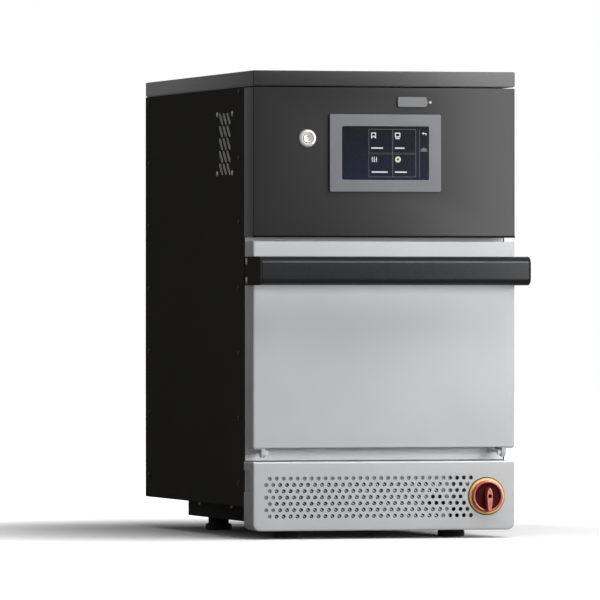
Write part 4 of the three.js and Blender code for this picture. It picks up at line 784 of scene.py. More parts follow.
def studio_white(name):
    """Pale floor that keeps the shadow: matt white with some light of its own for the camera."""
    material, tree, shader, place = surface(
        name, Roughness=1.0, Specular_IOR_Level=0.0, Emission_Color=rgba(linear("#ffffff"))
    )
    seen = seen_rays(tree)
    tone = (linear("#f7f7f7"), linear("#fbfbfb"))
    patterned(tree, shader, place, "Noise", {"Scale": per(400)}, tone=tone)
    paint = shader.inputs["Base Color"]
    links = {"Factor": seen, MIX_SECOND: paint.links[0].from_socket}
    lit_by_lamps = {MIX_FIRST: rgba(linear("#918e8b"))}
    tint = add_node(tree, "ShaderNodeMix", MIX_COLOURS, lit_by_lamps, links)
    tree.links.new(tint.outputs[MIX_RESULT], paint)
    away = add_node(tree, "ShaderNodeVectorMath", {"operation": "LENGTH"}, None, {"Vector": place})
    ends = dict(zip(RANGE, (*FLOOR_SHADOW_REACH, *FLOOR_GLOW)))
    smooth = {"interpolation_type": "SMOOTHSTEP"}
    rise = add_node(tree, "ShaderNodeMapRange", smooth, ends, {"Value": away.outputs["Value"]})
    shares = {0: seen, 1: rise.outputs["Result"]}
    glow = add_node(tree, "ShaderNodeMath", {"operation": "MULTIPLY"}, None, shares)
    tree.links.new(glow.outputs["Value"], shader.inputs["Emission Strength"])
    return material


class OVEN_OT_stage(bpy.types.Operator):
    """Build the floor, the lamps, the white room and the camera"""

    bl_idname = "oven.stage"
    bl_label = "Stage"

    def execute(self, context):
        scene = context.scene
        bm = bmesh.new()
        bmesh.ops.create_grid(bm, x_segments=1, y_segments=1, size=FLOOR_SIZE)
        bmesh.ops.translate(bm, vec=(0, 0, CAD_BOX[0][2]), verts=bm.verts)
        mesh = bpy.data.meshes.new("studio_floor")
        bm.to_mesh(mesh)
        bm.free()
        mesh.materials.append(finish_of(studio_white))
        floor = bpy.data.objects.new("studio_floor", mesh)
        scene.collection.objects.link(floor)

        for name, (place, size, power, on_matt, in_gloss) in LAMPS.items():
            light = bpy.data.lights.new(name, "AREA")
            light.shape = "RECTANGLE"
            light.size, light.size_y = size
            light.energy = power
            lamp = bpy.data.objects.new(name, light)
            lamp.location = place
            lamp.rotation_euler = (LAMP_TARGET - lamp.location).to_track_quat("-Z", "Y").to_euler()
            lamp.visible_camera = False
            lamp.visible_diffuse = on_matt
            lamp.visible_glossy = in_gloss
            scene.collection.objects.link(lamp)

        scene.world = scene.world or bpy.data.worlds.new("white_room")
        scene.world.use_nodes = True
        tree = scene.world.node_tree
        mirrored = add_node(tree, "ShaderNodeLightPath").outputs["Is Glossy Ray"]
        ends = {"To Min": ROOM_LIGHT, "To Max": ROOM_GLOSS}
        gloss = add_node(tree, "ShaderNodeMapRange", None, ends, {"Value": mirrored})
        shares = {0: seen_rays(tree), 1: gloss.outputs["Result"]}
        strength = add_node(tree, "ShaderNodeMath", {"operation": "MAXIMUM"}, None, shares)
        room = tree.nodes["Background"]
        room.inputs["Color"].default_value = rgba(linear("#ffffff"))
        tree.links.new(strength.outputs["Value"], room.inputs["Strength"])

        camera = bpy.data.objects.new("photo_camera", bpy.data.cameras.new("photo_camera"))
        camera.data.lens = CAMERA_LENS
        camera.location = CAMERA_PLACE
        camera.rotation_euler = (math.pi / 2, 0, -CAMERA_AZIMUTH)
        scene.collection.objects.link(camera)
        scene.camera = camera
        scene.view_settings.view_transform = "Standard"
        return {"FINISHED"}


class OVEN_OT_node_finishes(bpy.types.Operator):
    """Give every CAD node the finish of its slot"""

    bl_idname = "oven.node_finishes"
    bl_label = "Node finishes"

    def execute(self, context):
        for node, thing in frame["nodes"].items():
            thing.data.materials.clear()
            thing.data.materials.append(finish_of(SLOT_FINISHES[SLOTS[node]]))
        return {"FINISHED"}


# Housing

class OVEN_OT_housing_sheets(bpy.types.Operator):
    """Round the folds of the top cover, the frame, the base, the tray and the right side"""

    bl_idname = "oven.housing_sheets"
    bl_label = "Housing sheets"

    def execute(self, context):
        edge = sizes().sheet_edge
        cover, surround = from_node("top_cover"), from_node("front_frame")
        rounded(cover, outer_edges(cover), sizes().cover_edge, 4)
        coats = (
            ("top_cover", cover, powder_coat_cover), ("front_frame", surround, frame_coat_painted_light)
        )
        for node, bm, coat in coats:
            finished(f"{node}_sheet", bm, "housing", SLOTS[node], coat, [node], edge)
        dressed_copies(("base_plate", "air_intake_tray", "right_side_panel"), "housing", edge)
        return {"FINISHED"}


GRILLE_END, REAR_SLOT_END = 1.3 * MM, 0.9 * MM  # radii in the corners of the slots
GRILLE_RIM = 0.8 * MM  # wall of the metal rim in each slot of the grille
GRILLE_PROUD = 0.5 * MM  # how far each rim stands out of the sheet


def with_round_slots(node, axis, radius):
    """A CAD sheet whose slots have round corners."""
    bm = from_node(node)
    rounded(bm, slot_ends(bm, axis), radius, 3)
    return bm


class OVEN_OT_vented_sheets(bpy.types.Operator):
    """Round the slots of the left side panel and the rear panel"""

    bl_idname = "oven.vented_sheets"
    bl_label = "Vented sheets"

    def execute(self, context):
        edge = sizes().sheet_edge
        for node, axis, end in ("left_side_panel", 0, GRILLE_END), ("rear_panel", 1, REAR_SLOT_END):
            sheet = with_round_slots(node, axis, end)
            finished(f"{node}_sheet", sheet, "housing", SLOTS[node], None, [node], edge)

        bm = with_round_slots("left_side_panel", 0, GRILLE_END)
        low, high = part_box("left_side_panel")

        def in_slot(face):
            middle = face.calc_center_median()
            inside = all(low[i] + MARGIN < middle[i] < high[i] - MARGIN for i in (1, 2))
            return inside and abs(face.normal.x) < 0.1 and middle.x < low.x + MARGIN

        bmesh.ops.delete(bm, geom=[face for face in bm.faces if not in_slot(face)], context="FACES")
        outer = [vert for vert in bm.verts if vert.co.x < low.x + 0.1 * MM]
        bmesh.ops.translate(bm, vec=LEFT * GRILLE_PROUD, verts=outer)
        bmesh.ops.solidify(bm, geom=bm.faces, thickness=-GRILLE_RIM)
        bmesh.ops.recalc_face_normals(bm, faces=bm.faces)
        finished("grille_slot_rims", bm, "housing", "zinc_sheet", polished_aluminium)
        return {"FINISHED"}


# Depths behind the door's front and heights, in millimetres
SIDE_SCREW_DEPTHS = (74.3, 578)
SIDE_SCREW_HEIGHTS = (73.3, 159.7, 245.5, 332.5, 419.7, 505.9, 592.1)
SIDE_SCREW_RISE, REAR_SCREW_RISE, RIVET_RISE = 1.6, 1.8, 1.4
RIVET_DEPTHS = (110.2, 191.1)
RIVET_HEIGHTS = (485.8, 565)
TRAY_SCREW_DEPTHS = (219, 396)
TRAY_SCREW_HEIGHT = 38
REAR_SCREW_INSETS = (8 * MM, 14 * MM)  # from the panel's sides and ends
REAR_SCREW_SHARES = (0.25, 0.5, 0.75)  # of the panel's height


class OVEN_OT_housing_fasteners(bpy.types.Operator):
    """Add the screws of the sheets and the four rivets of the cooling fan"""

    bl_idname = "oven.housing_fasteners"
    bl_label = "Housing fasteners"

    def execute(self, context):
        radius, rivet = sizes().screw_radius / MM, sizes().rivet_radius / MM
        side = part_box("right_side_panel")[1].x
        tray_low, tray_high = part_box("air_intake_tray")
        screws, tray_screws, rivets, rear_screws = (bmesh.new() for i in range(4))
        for outward, face, tray_face in ((LEFT, -side, tray_low.x), (RIGHT, side, tray_high.x)):
            for depth, height in product(SIDE_SCREW_DEPTHS, SIDE_SCREW_HEIGHTS):
                head(screws, PAN_HEAD, at(face, depth, height), outward, radius, SIDE_SCREW_RISE)
            for depth in TRAY_SCREW_DEPTHS:
                place = at(tray_face, depth, TRAY_SCREW_HEIGHT)
                head(tray_screws, PAN_HEAD, place, outward, radius, SIDE_SCREW_RISE)
        for depth, height in product(RIVET_DEPTHS, RIVET_HEIGHTS):
            head(rivets, RIVET_HEAD, at(-side, depth, height), LEFT, rivet, RIVET_RISE)

        low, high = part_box("rear_panel")
        inward, upward = REAR_SCREW_INSETS
        across = (low.x + inward, high.x - inward)
        ends = product((across[0], 0, across[1]), (low.z + upward, high.z - upward))
        heights = [low.z + (high.z - low.z) * share for share in REAR_SCREW_SHARES]
        for x, z in (*ends, *product(across, heights)):
            head(rear_screws, PAN_HEAD, Vector((x, high.y, z)), BACK, radius, REAR_SCREW_RISE)
        finished("black_sheet_screws", screws, "housing", "dark_paint", phosphated_steel)
        finished("tray_screws", tray_screws, "housing", "stainless", zinc_plated_steel)
        finished("fan_rivets", rivets, "housing", "stainless", zinc_plated_steel)
        finished("rear_screws", rear_screws, "housing", "stainless", zinc_plated_steel)
        return {"FINISHED"}


FOOT_RECESS = ((0, 4), (4.5, 4), (4.5, 0.4), (5, 0))  # radius and height
# How far inside the foot's radius, and height
FOOT_SOLE = ((2.2, 0), (0.8, 0.5), (0, 1.8), (0, 7), (0.8, 8.2), (3.4, 9), (4, 10))


class OVEN_OT_feet(bpy.types.Operator):
    """Turn the four rubber feet with their screw recess"""

    bl_idname = "oven.feet"
    bl_label = "Feet"

    def execute(self, context):
        for node in ("front_left_foot", "front_right_foot", "rear_left_foot", "rear_right_foot"):
            low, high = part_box(node)
            centre = centre_of(node)
            centre.z = low.z
            radius = (high.x - low.x) / 2 / MM
            top = (high.z - low.z) / MM
            outside = [(radius - less, up) for less, up in (*FOOT_SOLE, (FOOT_SOLE[-1][0], top))]
            profile = (*FOOT_RECESS, *outside, (0, top))
            turned(f"{node}_turned", profile, centre, UP, "housing", "black_rubber", None, [node])
        return {"FINISHED"}


# Radius and place along the gland's axis; its neck and its tip follow the CAD's
GLAND_COLLAR = ((9.5, 0.3), (12.2, 0.3), (12.2, 1.6), (9.5, 1.8))
GLAND_RIBS = (
    (9.5, 7.6), (10, 7.6), (10, 8.4), (9.5, 8.4), (9.5, 9.6), (10, 9.6), (10, 10.4), (9.5, 10.4),
)
GLAND_NUT = ((9.4, 1.2), (13, 1.2), (13, 6.3), (9.4, 6.3))


class OVEN_OT_cable_gland(bpy.types.Operator):
    """Turn the rear gland: clamping nut with flats, ribbed neck and bore"""

    bl_idname = "oven.cable_gland"
    bl_label = "Cable gland"

    def execute(self, context):
        node = "cable_gland"
        low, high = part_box(node)
        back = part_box("rear_panel")[1].y
        centre = centre_of(node, back)
        start, tip = (low.y - back) / MM, (high.y - back) / MM
        bore = ((6, start), (9.5, start))
        mouth = ((9.3, tip - 4), (8.2, tip - 0.8), (7.2, tip), (6, tip - 0.6))
        bm = bmesh.new()
        profile = (*bore, *GLAND_COLLAR, *GLAND_RIBS, *mouth)
        spun(bm, profile, centre, BACK, SMALL_STEPS, closed=True)
        spun(bm, GLAND_NUT, centre, BACK, 6, closed=True)
        material = ("black_rubber", moulded_black_nylon)
        finished(f"{node}_turned", bm, "housing", *material, [node], edge=0.4 * MM)
        return {"FINISHED"}


# Controls

FASCIA_SEAM = 1.4 * MM  # open joint under the cover
# Near-black strips of painted shadow: one under the fascia's foot, one in the gap above the filter
# panel
FASCIA_SHADOW_DEPTH, FASCIA_SHADOW_BELOW, FASCIA_SHADOW_ABOVE = 0.8 * MM, 0.6 * MM, 1.9 * MM  # strip on the fascia's foot
PANEL_SHADOW_DEPTH, PANEL_SHADOW_FOOT, PANEL_SHADOW_TOP = 1.6 * MM, 0.1 * MM, 1.0 * MM  # strip above the filter panel


class OVEN_OT_fascia(bpy.types.Operator):
    """Round the edges of the fascia and of the frame round the screen, and lay near-black strips of
    painted shadow in two joints
    """

    bl_idname = "oven.fascia"
    bl_label = "Fascia and screen frame"

    def execute(self, context):
        node = "control_fascia"
        low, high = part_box(node)
        bm = from_node(node)
        for vert in bm.verts:
            if vert.co.z > high.z - MM:
                vert.co.z -= FASCIA_SEAM
        finished("fascia_sheet", bm, "housing", SLOTS[node], None, [node], 0.4 * MM)
        strip = ("housing", "black_rubber", painted_joint_shadow, 0.2 * MM)
        depths, heights = (low.y - FASCIA_SHADOW_DEPTH, low.y), (low.z - FASCIA_SHADOW_BELOW, low.z + FASCIA_SHADOW_ABOVE)
        boxed("fascia_foot_shadow_strip", (low.x, high.x), depths, heights, *strip)
        # A near-black strip of painted shadow in the gap above the filter panel
        low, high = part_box("front_frame")
        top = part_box("filter_panel")[1].z
        depths, heights = (low.y - PANEL_SHADOW_DEPTH, low.y), (top + PANEL_SHADOW_FOOT, top + PANEL_SHADOW_TOP)
        boxed("panel_top_shadow_strip", (low.x, high.x), depths, heights, *strip)
        node = "display_bezel"
        bm = from_node(node)
        rounded(bm, outer_edges(bm), 0.9 * MM, 4)
        finished(f"{node}_frame", bm, "housing", SLOTS[node], None, [node], edge=0.5 * MM)
        dressed_copies(("touch_screen",), "housing", 0.3 * MM)
        dressed_copies(("display_module",), "housing", sizes().sheet_edge)
        return {"FINISHED"}


# Places on the screen, in millimetres from its left and its top edge: left, right, top, bottom
SCREEN_LINES = (
    (36.5, 37.0, 3.6, 67.1),
    (101.1, 101.6, 3.6, 67.1),
    (68.9, 69.2, 3.6, 67.1),
    (69.7, 70.0, 3.6, 67.1),
    (36.5, 101.6, 3.6, 4.1),
    (36.5, 101.6, 66.6, 67.1),
    (36.5, 101.6, 35.1, 35.4),
    (36.5, 101.6, 36.5, 36.8),
    (106.1, 106.5, 3.6, 67.1),
)
SCREEN_BARS = (
    (40.0, 56.2, 27.8, 29.5),
    (72.6, 85.8, 27.8, 29.5),
    (40.7, 62.6, 59.6, 61.3),
    (72.6, 89.0, 59.6, 61.3),
    (73.4, 79.2, 15.2, 16.6),
    (111.6, 115.4, 8.6, 9.5),
    (115.0, 116.0, 8.6, 11.4),
)
SLIDERS = ((40.7, 42.0), (43.4, 45.4), (46.4, 43.2))  # across, and the height of each knob
# Corners across and down, and the width of the line
SCREEN_OUTLINES = (
    (((40.0, 8.1), (46.6, 8.1), (46.6, 16.3), (43.3, 13.6), (40.0, 16.3)), 1.2),
    (((73.2, 8.1), (79.4, 8.1), (80.0, 8.7), (80.0, 13.8), (79.4, 14.4), (73.2, 14.4),
      (72.6, 13.8), (72.6, 8.7)), 1.3),
    (((112.4, 7.2), (112.4, 10.9), (109.9, 9.05)), 0.7),
)
SLIDER_RAIL = (0.4, 1.2, 40.3, 47.3)
SLIDER_KNOB = (-0.1, 1.7, 1.4)  # left, right and height
RING_PLACE = (76.8, 43.7)
SCREEN_RING = ((1.5, 0.1), (4.0, 0.1), (4.0, -0.05), (1.5, -0.05))
DOME_PLACE, DOME_RADII, DOME_STEPS = (112.5, 32.2), (4.4, 4.2), 12
DOME_BASE = (107.2, 117.8, 32.4, 33.2)
MARK_RISE, MARK_SINK = 0.1, 0.05  # of each mark, out of the glass and into it


def on_screen(across, down, proud=0.0):
    """A place on the glass, in metres."""
    low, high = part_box("touch_screen")
    return Vector((low.x + across * MM, low.y - proud * MM, high.z - down * MM))


def lit_bars(bm, bars):
    """Flat lit patches, a tenth of a millimetre proud of the glass."""
    for left, right, top, bottom in bars:
        block(bm, *zip(on_screen(left, bottom, MARK_RISE), on_screen(right, top, -MARK_SINK)))


def lit_outline(bm, points, stroke):
    """A closed line of even width through the given corners."""
    face = bm.faces.new([bm.verts.new(on_screen(*point, MARK_RISE)) for point in points])
    bm.normal_update()
    ring = bmesh.ops.inset_region(
        bm, faces=[face], thickness=stroke * MM, use_even_offset=True, use_boundary=True
    )["faces"]
    bmesh.ops.delete(bm, geom=[face], context="FACES_ONLY")
    moved_apart(bm, ring, BACK * (MARK_RISE + MARK_SINK) * MM)


class OVEN_OT_screen_marks(bpy.types.Operator):
    """Lay the plain menu of the screen: a grid, four symbols and bars in place of words"""

    bl_idname = "oven.screen_marks"
    bl_label = "Screen menu"

    def execute(self, context):
        lines, symbols, ring, dome = (bmesh.new() for i in range(4))
        lit_bars(lines, SCREEN_LINES)
        lit_bars(symbols, SCREEN_BARS)
        for across, knob in SLIDERS:
            left, right, top, bottom = SLIDER_RAIL
            lit_bars(symbols, [(across + left, across + right, top, bottom)])
            left, right, height = SLIDER_KNOB
            lit_bars(symbols, [(across + left, across + right, knob, knob + height)])
        for points, stroke in SCREEN_OUTLINES:
            lit_outline(symbols, points, stroke)
        bmesh.ops.recalc_face_normals(symbols, faces=symbols.faces)
        spun(ring, SCREEN_RING, on_screen(*RING_PLACE), FORWARD, SMALL_STEPS, closed=True)
        turns = [i / DOME_STEPS * math.pi for i in range(DOME_STEPS + 1)]
        (across, down), (wide, tall) = DOME_PLACE, DOME_RADII
        arc = [(across - wide * math.cos(turn), down - tall * math.sin(turn)) for turn in turns]
        face = dome.faces.new([dome.verts.new(on_screen(*place, MARK_RISE)) for place in arc])
        moved_apart(dome, [face], BACK * (MARK_RISE + MARK_SINK) * MM)
        lit_bars(dome, [DOME_BASE])
        finished("screen_lines", lines, "housing", "screen_glass", lit_line)
        finished("screen_symbols", symbols, "housing", "screen_glass", lit_white)
        finished("screen_ring", ring, "housing", "screen_glass", lit_cream)
        finished("screen_dome", dome, "housing", "screen_glass", lit_dim)
        return {"FINISHED"}


# Radius and place in front of the fascia
BUTTON_RING = (
    (0, -14), (6.3, -14), (6.3, 1.4), (7.9, 1.4), (7.9, 2.8), (8.1, 3), (9.3, 3), (10.4, 2.6),
    (11.3, 1.9), (11.8, 1.1), (12, 0.1), (9.2, 0.1), (9.2, -22), (0, -22),
)
BUTTON_CAP = (
    (0, 1.9), (4.4, 1.9), (4.8, 2.1), (5.4, 2.2), (5.8, 2.0), (6, 1.6), (6, -6.7), (0, -6.7),
)
SYMBOL_RADIUS = 2.7 * MM
SYMBOL_PLACE = 1.62 * MM  # in front of the door's plane
SYMBOL_GAP = 0.6  # half the open part of the symbol's ring, in radians
SYMBOL_BAR = (0.6 * MM, 3.3 * MM)  # ends of the upright stroke, above the button's centre
STROKE = 0.25 * MM  # half its width


class OVEN_OT_power_button(bpy.types.Operator):
    """Turn the button's ring and its dished cap, and cut the symbol"""

    bl_idname = "oven.power_button"
    bl_label = "Power button"

    def execute(self, context):
        centre = centre_of("power_button_ring", FRONT)
        ring, cap, steel = "power_button_ring", "power_button_cap", "button_steel"
        turned("power_button_bezel", BUTTON_RING, centre, FORWARD, "housing", steel, None, [ring])
        turned("power_button_face", BUTTON_CAP, centre, FORWARD, "power_button", steel, None, [cap])

        bm = bmesh.new()
        middle = centre + FORWARD * SYMBOL_PLACE
        turn = Matrix.Rotation(SYMBOL_GAP, 3, "Y")
        start = middle + Vector((math.sin(SYMBOL_GAP), 0, math.cos(SYMBOL_GAP))) * SYMBOL_RADIUS
        verts = block(bm, (-STROKE, STROKE), (-2 * STROKE, 2 * STROKE), (-STROKE, STROKE))
        bmesh.ops.rotate(bm, cent=(0, 0, 0), matrix=turn, verts=verts)
        bmesh.ops.translate(bm, vec=start, verts=verts)
        end = max(bm.faces, key=lambda face: face.normal @ turn @ RIGHT)
        sweep = 2 * math.pi - 2 * SYMBOL_GAP
        geom = [end, *end.edges, *end.verts]
        bmesh.ops.spin(bm, geom=geom, cent=centre, axis=BACK, angle=sweep, steps=SMALL_STEPS)
        width = (middle.x - STROKE, middle.x + STROKE)
        depth = (middle.y - 2 * STROKE, middle.y + 2 * STROKE)
        block(bm, width, depth, [middle.z + height for height in SYMBOL_BAR])
        bmesh.ops.recalc_face_normals(bm, faces=bm.faces)
        finished("power_symbol", bm, "power_button", steel, etched_steel)
        return {"FINISHED"}


PORT_COVER_LENGTH = 39.8 * MM
PORT_COVER_CORNER = 2.4 * MM
TETHER_CORNER, TETHER_END = 1 * MM, 0.4 * MM
NECK_OVERLAP = 2 * MM  # of the neck with the cover
TETHER_PIN_RADIUS = 1.6
NECK_THICKNESS = 1 * MM
NECK_WIDTHS = (3 * MM, 1.9 * MM)  # half the width at the cover and in the tether


class OVEN_OT_usb_port(bpy.types.Operator):
    """Mould the port's cover, its tether and the socket behind it"""

    bl_idname = "oven.usb_port"
    bl_label = "Data port"

    def execute(self, context):
        dressed_copies(("usb_socket",), "housing", 0.3 * MM)
        low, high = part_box("usb_cover")
        wide, slim = NECK_WIDTHS
        end = low.x + PORT_COVER_LENGTH
        bm = bmesh.new()
        slab(bm, (low.x, end), (low.y, high.y), (low.z, high.z), PORT_COVER_CORNER)
        middle = (low.z + high.z) / 2
        depths = (high.y - NECK_THICKNESS, high.y)
        block(bm, (end - NECK_OVERLAP, high.x), depths, (middle - wide, middle + wide))
        rubber = ("grey_rubber", None)
        finished("usb_cover_moulding", bm, "usb_lid", *rubber, ["usb_cover"], 0.7 * MM, 4)

        low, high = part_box("usb_tether")
        centre = centre_of("usb_tether", high.y)
        bm = bmesh.new()
        depths, heights = (high.y - NECK_THICKNESS, high.y), (centre.z - slim, centre.z + slim)
        slab(bm, (low.x, high.x - TETHER_END), depths, heights, TETHER_CORNER)
        finished("usb_tether_moulding", bm, "housing", *rubber, ["usb_tether"])
        bm = bmesh.new()
        head(bm, PAN_HEAD, centre, FORWARD, TETHER_PIN_RADIUS, (high.y - low.y) / MM)
        finished("usb_tether_pin", bm, "housing", "stainless", zinc_plated_steel)
        return {"FINISHED"}


# Door

class OVEN_OT_door_skin(bpy.types.Operator):
    """Fold the door's painted skin, open at the back"""

    bl_idname = "oven.door_skin"
    bl_label = "Door skin"

    def execute(self, context):
        low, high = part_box("door_skin")
        bm = bmesh.new()
        verts = block(bm, *zip(low, high))
        upright = [edge for edge in edges_along(verts, 2) if edge.verts[0].co.y < low.y + MM]
        rounded(bm, upright, sizes().door_edge)
        level = [
            edge for edge in bm.edges
            if abs(edge.verts[0].co.z - edge.verts[1].co.z) < NEAR
            and min(vert.co.y for vert in edge.verts) < high.y - MM
        ]
        rounded(bm, level, sizes().door_top_edge, 4)
        back = [face for face in bm.faces if face.normal.y > 0.9]
        bmesh.ops.delete(bm, geom=back, context="FACES_ONLY")
        bmesh.ops.solidify(bm, geom=bm.faces, thickness=SHEET)
        finished("door_skin_sheet", bm, "door", "silver_paint", None, ["door_skin"])
        return {"FINISHED"}


class OVEN_OT_door_inside(bpy.types.Operator):
    """Round the edges of the door's inner panel, core, gasket, hooks and hinges"""

    bl_idname = "oven.door_inside"
    bl_label = "Door inside"

    def execute(self, context):
        edge = sizes().sheet_edge
        dressed_copies(("door_inner_panel",), "door", edge)
        dressed_copies(("door_core",), "door", 1 * MM)
        dressed_copies(("door_gasket",), "door", 2.2 * MM, 5)
        for side in ("left", "right"):
            dressed_copies((f"{side}_latch_hook",), "door", edge)
            node = f"{side}_hinge_lug"
            finished(f"{node}_painted", from_node(node), "door", "silver_paint", None, [node], edge)
        return {"FINISHED"}


HINGE_DEPTH, HINGE_HEIGHT = 8, 114  # of the pin's axis
HINGE_ARM, HINGE_FOOT = 4 * MM, 3 * MM  # how wide the arm is, and how far its foot reaches in
ARM_HEIGHTS, FOOT_HEIGHTS = (-0.5 * MM, 3 * MM), (-2 * MM, 4.5 * MM)  # about the pin's axis
HINGE_PIN = ((0, 0), (3.6, 0), (3.6, 4), (3, 4), (3, 10.3), (2.7, 10.6), (0, 10.6))


class OVEN_OT_hinge_brackets(bpy.types.Operator):
    """Build the fixed hinge arms: an arm on a foot plate, with the pin that the door turns on"""

    bl_idname = "oven.hinge_brackets"
    bl_label = "Hinge brackets"

    def execute(self, context):
        arm, foot = (
            [HINGE_HEIGHT * MM + up for up in heights] for heights in (ARM_HEIGHTS, FOOT_HEIGHTS)
        )
        for side, outward in SIDES:
            node = f"{side}_hinge_bracket"
            low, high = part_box(node)
            tip = low.x if outward.x < 0 else high.x
            start = tip - outward.x * HINGE_PIN[-1][1] * MM
            end = start + outward.x * HINGE_ARM
            bm = bmesh.new()
            spun(bm, HINGE_PIN, at(start, HINGE_DEPTH, HINGE_HEIGHT), outward, SMALL_STEPS)
            block(bm, sorted((start, end)), (behind_front(HINGE_DEPTH), high.y), arm)
            reach = sorted((start - outward.x * HINGE_FOOT, end))
            block(bm, reach, (high.y - SHEET, high.y), foot)
            # The arms take the frame's paler coat, with its painted light.
            coat = ("silver_paint", frame_coat_painted_light)
            finished(f"{side}_hinge_arm", bm, "housing", *coat, [node], edge=0.4 * MM)
        return {"FINISHED"}


HANDLE_FLAT = 19.5 * MM  # height of the bar's flat front
HANDLE_CURVE = 14 * MM  # depth of its rounded edges
HANDLE_JOINT = 2.7 * MM  # from the arm's inner face to the full section
HANDLE_SCREW_DEPTH = 15
HANDLE_SCREW_HEIGHTS = (342.6, 367.4)
HANDLE_SCREW_RISE = 0.8 * MM


def handle_bar_block(bm, x, y, z):
    """A block whose upper and lower front edges are rounded to an ellipse."""
    rise = (z[1] - z[0] - HANDLE_FLAT) / 2
    squeeze = rise / HANDLE_CURVE
    depth = (y[1] - y[0]) * squeeze
    verts = block(bm, x, (y[0], y[0] + depth), z)
    front = [edge for edge in edges_along(verts, 0) if edge.verts[0].co.y < y[0] + depth / 2]
    others = set(bm.verts) - set(verts)
    rounded(bm, front, rise, 14)
    mine = [vert for vert in bm.verts if vert not in others]
    space = Matrix.Translation((0, -y[0], 0))
    bmesh.ops.scale(bm, vec=(1, 1 / squeeze, 1), verts=mine, space=space)


class OVEN_OT_handle(bpy.types.Operator):
    """Shape the bar handle, its arms and the screws in their end plates"""

    bl_idname = "oven.handle"
    bl_label = "Handle"

    def execute(self, context):
        low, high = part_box("handle_bar")
        bar_back = high.y
        bm = bmesh.new()
        handle_bar_block(bm, *zip(low, high))
        paint = ("door", "handle_paint")
        finished("handle_bar_extrusion", bm, *paint, None, ["handle_bar"], 0.5 * MM, angle=40)
        screws = bmesh.new()
        radius = sizes().handle_screw_radius / MM
        for side, outward in SIDES:
            node = f"{side}_handle_arm"
            low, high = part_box(node)
            inner, outer = (high.x, low.x) if outward.x < 0 else (low.x, high.x)
            face = outer - outward.x * HANDLE_SCREW_RISE
            joint = inner + outward.x * HANDLE_JOINT
            heights = (low.z, high.z)
            bm = bmesh.new()
            handle_bar_block(bm, sorted((joint, face)), (low.y, high.y), heights)
            block(bm, sorted((inner, joint)), (bar_back + 0.3 * MM, high.y), heights)
            bmesh.ops.remove_doubles(bm, verts=bm.verts, dist=NEAR)
            coat = (*paint, powder_coat_black)
            finished(f"{side}_handle_end", bm, *coat, [node], 0.6 * MM, angle=40)
            for height in HANDLE_SCREW_HEIGHTS:
                place = at(face, HANDLE_SCREW_DEPTH, height)
                head(screws, PAN_HEAD, place, outward, radius, HANDLE_SCREW_RISE / MM)
        finished("handle_screws", screws, "door", "stainless", zinc_plated_steel)
        return {"FINISHED"}


# Filter panel

# Pitch across and down, and places, in millimetres
HOLE_PITCH = (9.54, 8.33)
HOLE_ROWS, HOLE_COLUMNS = 7, 30
HOLE_FIRST, HOLE_TOP_ROW = -162.4, 80.4
BLANK_RADIUS = 30.6 * MM
SWITCH_OPENING = 25.4 * MM
PANEL_CORNER = 10 * MM
PANEL_EDGE = 2.5 * MM
GRIP_DEPTHS = (22, 37)
GRIP_HEIGHTS = (61, 91)
GRIP_SLOPE = 1.5 * MM
GRIP_DENT = 2.2 * MM
NOTCH_DEPTH = 44.5
NOTCH_HEIGHTS = (62, 91)
STUD_DEPTH, STUD_HEIGHT = 27, 36
STUD_RADIUS, STUD_RISE = 3.6, 0.8


def hole_places(switch_place):
    """Centres of the staggered holes, which leave the switch's surround blank."""
    for row, column in product(range(HOLE_ROWS), range(HOLE_COLUMNS)):
        stagger = HOLE_PITCH[0] / 2 if row % 2 == 0 else 0
        across = HOLE_FIRST + stagger + column * HOLE_PITCH[0]
        place = at(across * MM, 0, HOLE_TOP_ROW - row * HOLE_PITCH[1])
        if (place - switch_place).xz.length > BLANK_RADIUS:
            yield place


def cut_flange(bm, side, depths, heights):
    """Cuts one flange along a rectangle and gives the face inside it."""
    marks = [(behind_front(depth), BACK) for depth in depths]
    marks += [(height * MM, UP) for height in heights]
    for mark, direction in (*marks, (None, None)):
        flange = [face for face in bm.faces if abs(face.calc_center_median().x - side) < NEAR]
        if direction:
            edges = dict.fromkeys(edge for face in flange for edge in face.edges)
            verts = dict.fromkeys(vert for face in flange for vert in face.verts)
            geom = [*flange, *edges, *verts]
            bmesh.ops.bisect_plane(bm, geom=geom, plane_co=(mark, mark, mark), plane_no=direction)
    for face in flange:
        middle = face.calc_center_median()
        deep = len(depths) == 1 or middle.y < behind_front(depths[-1])
        high = heights[0] * MM < middle.z < heights[1] * MM
        if deep and high and middle.y > behind_front(depths[0]):
            return face
    raise RuntimeError("The flange has no face inside the rectangle")


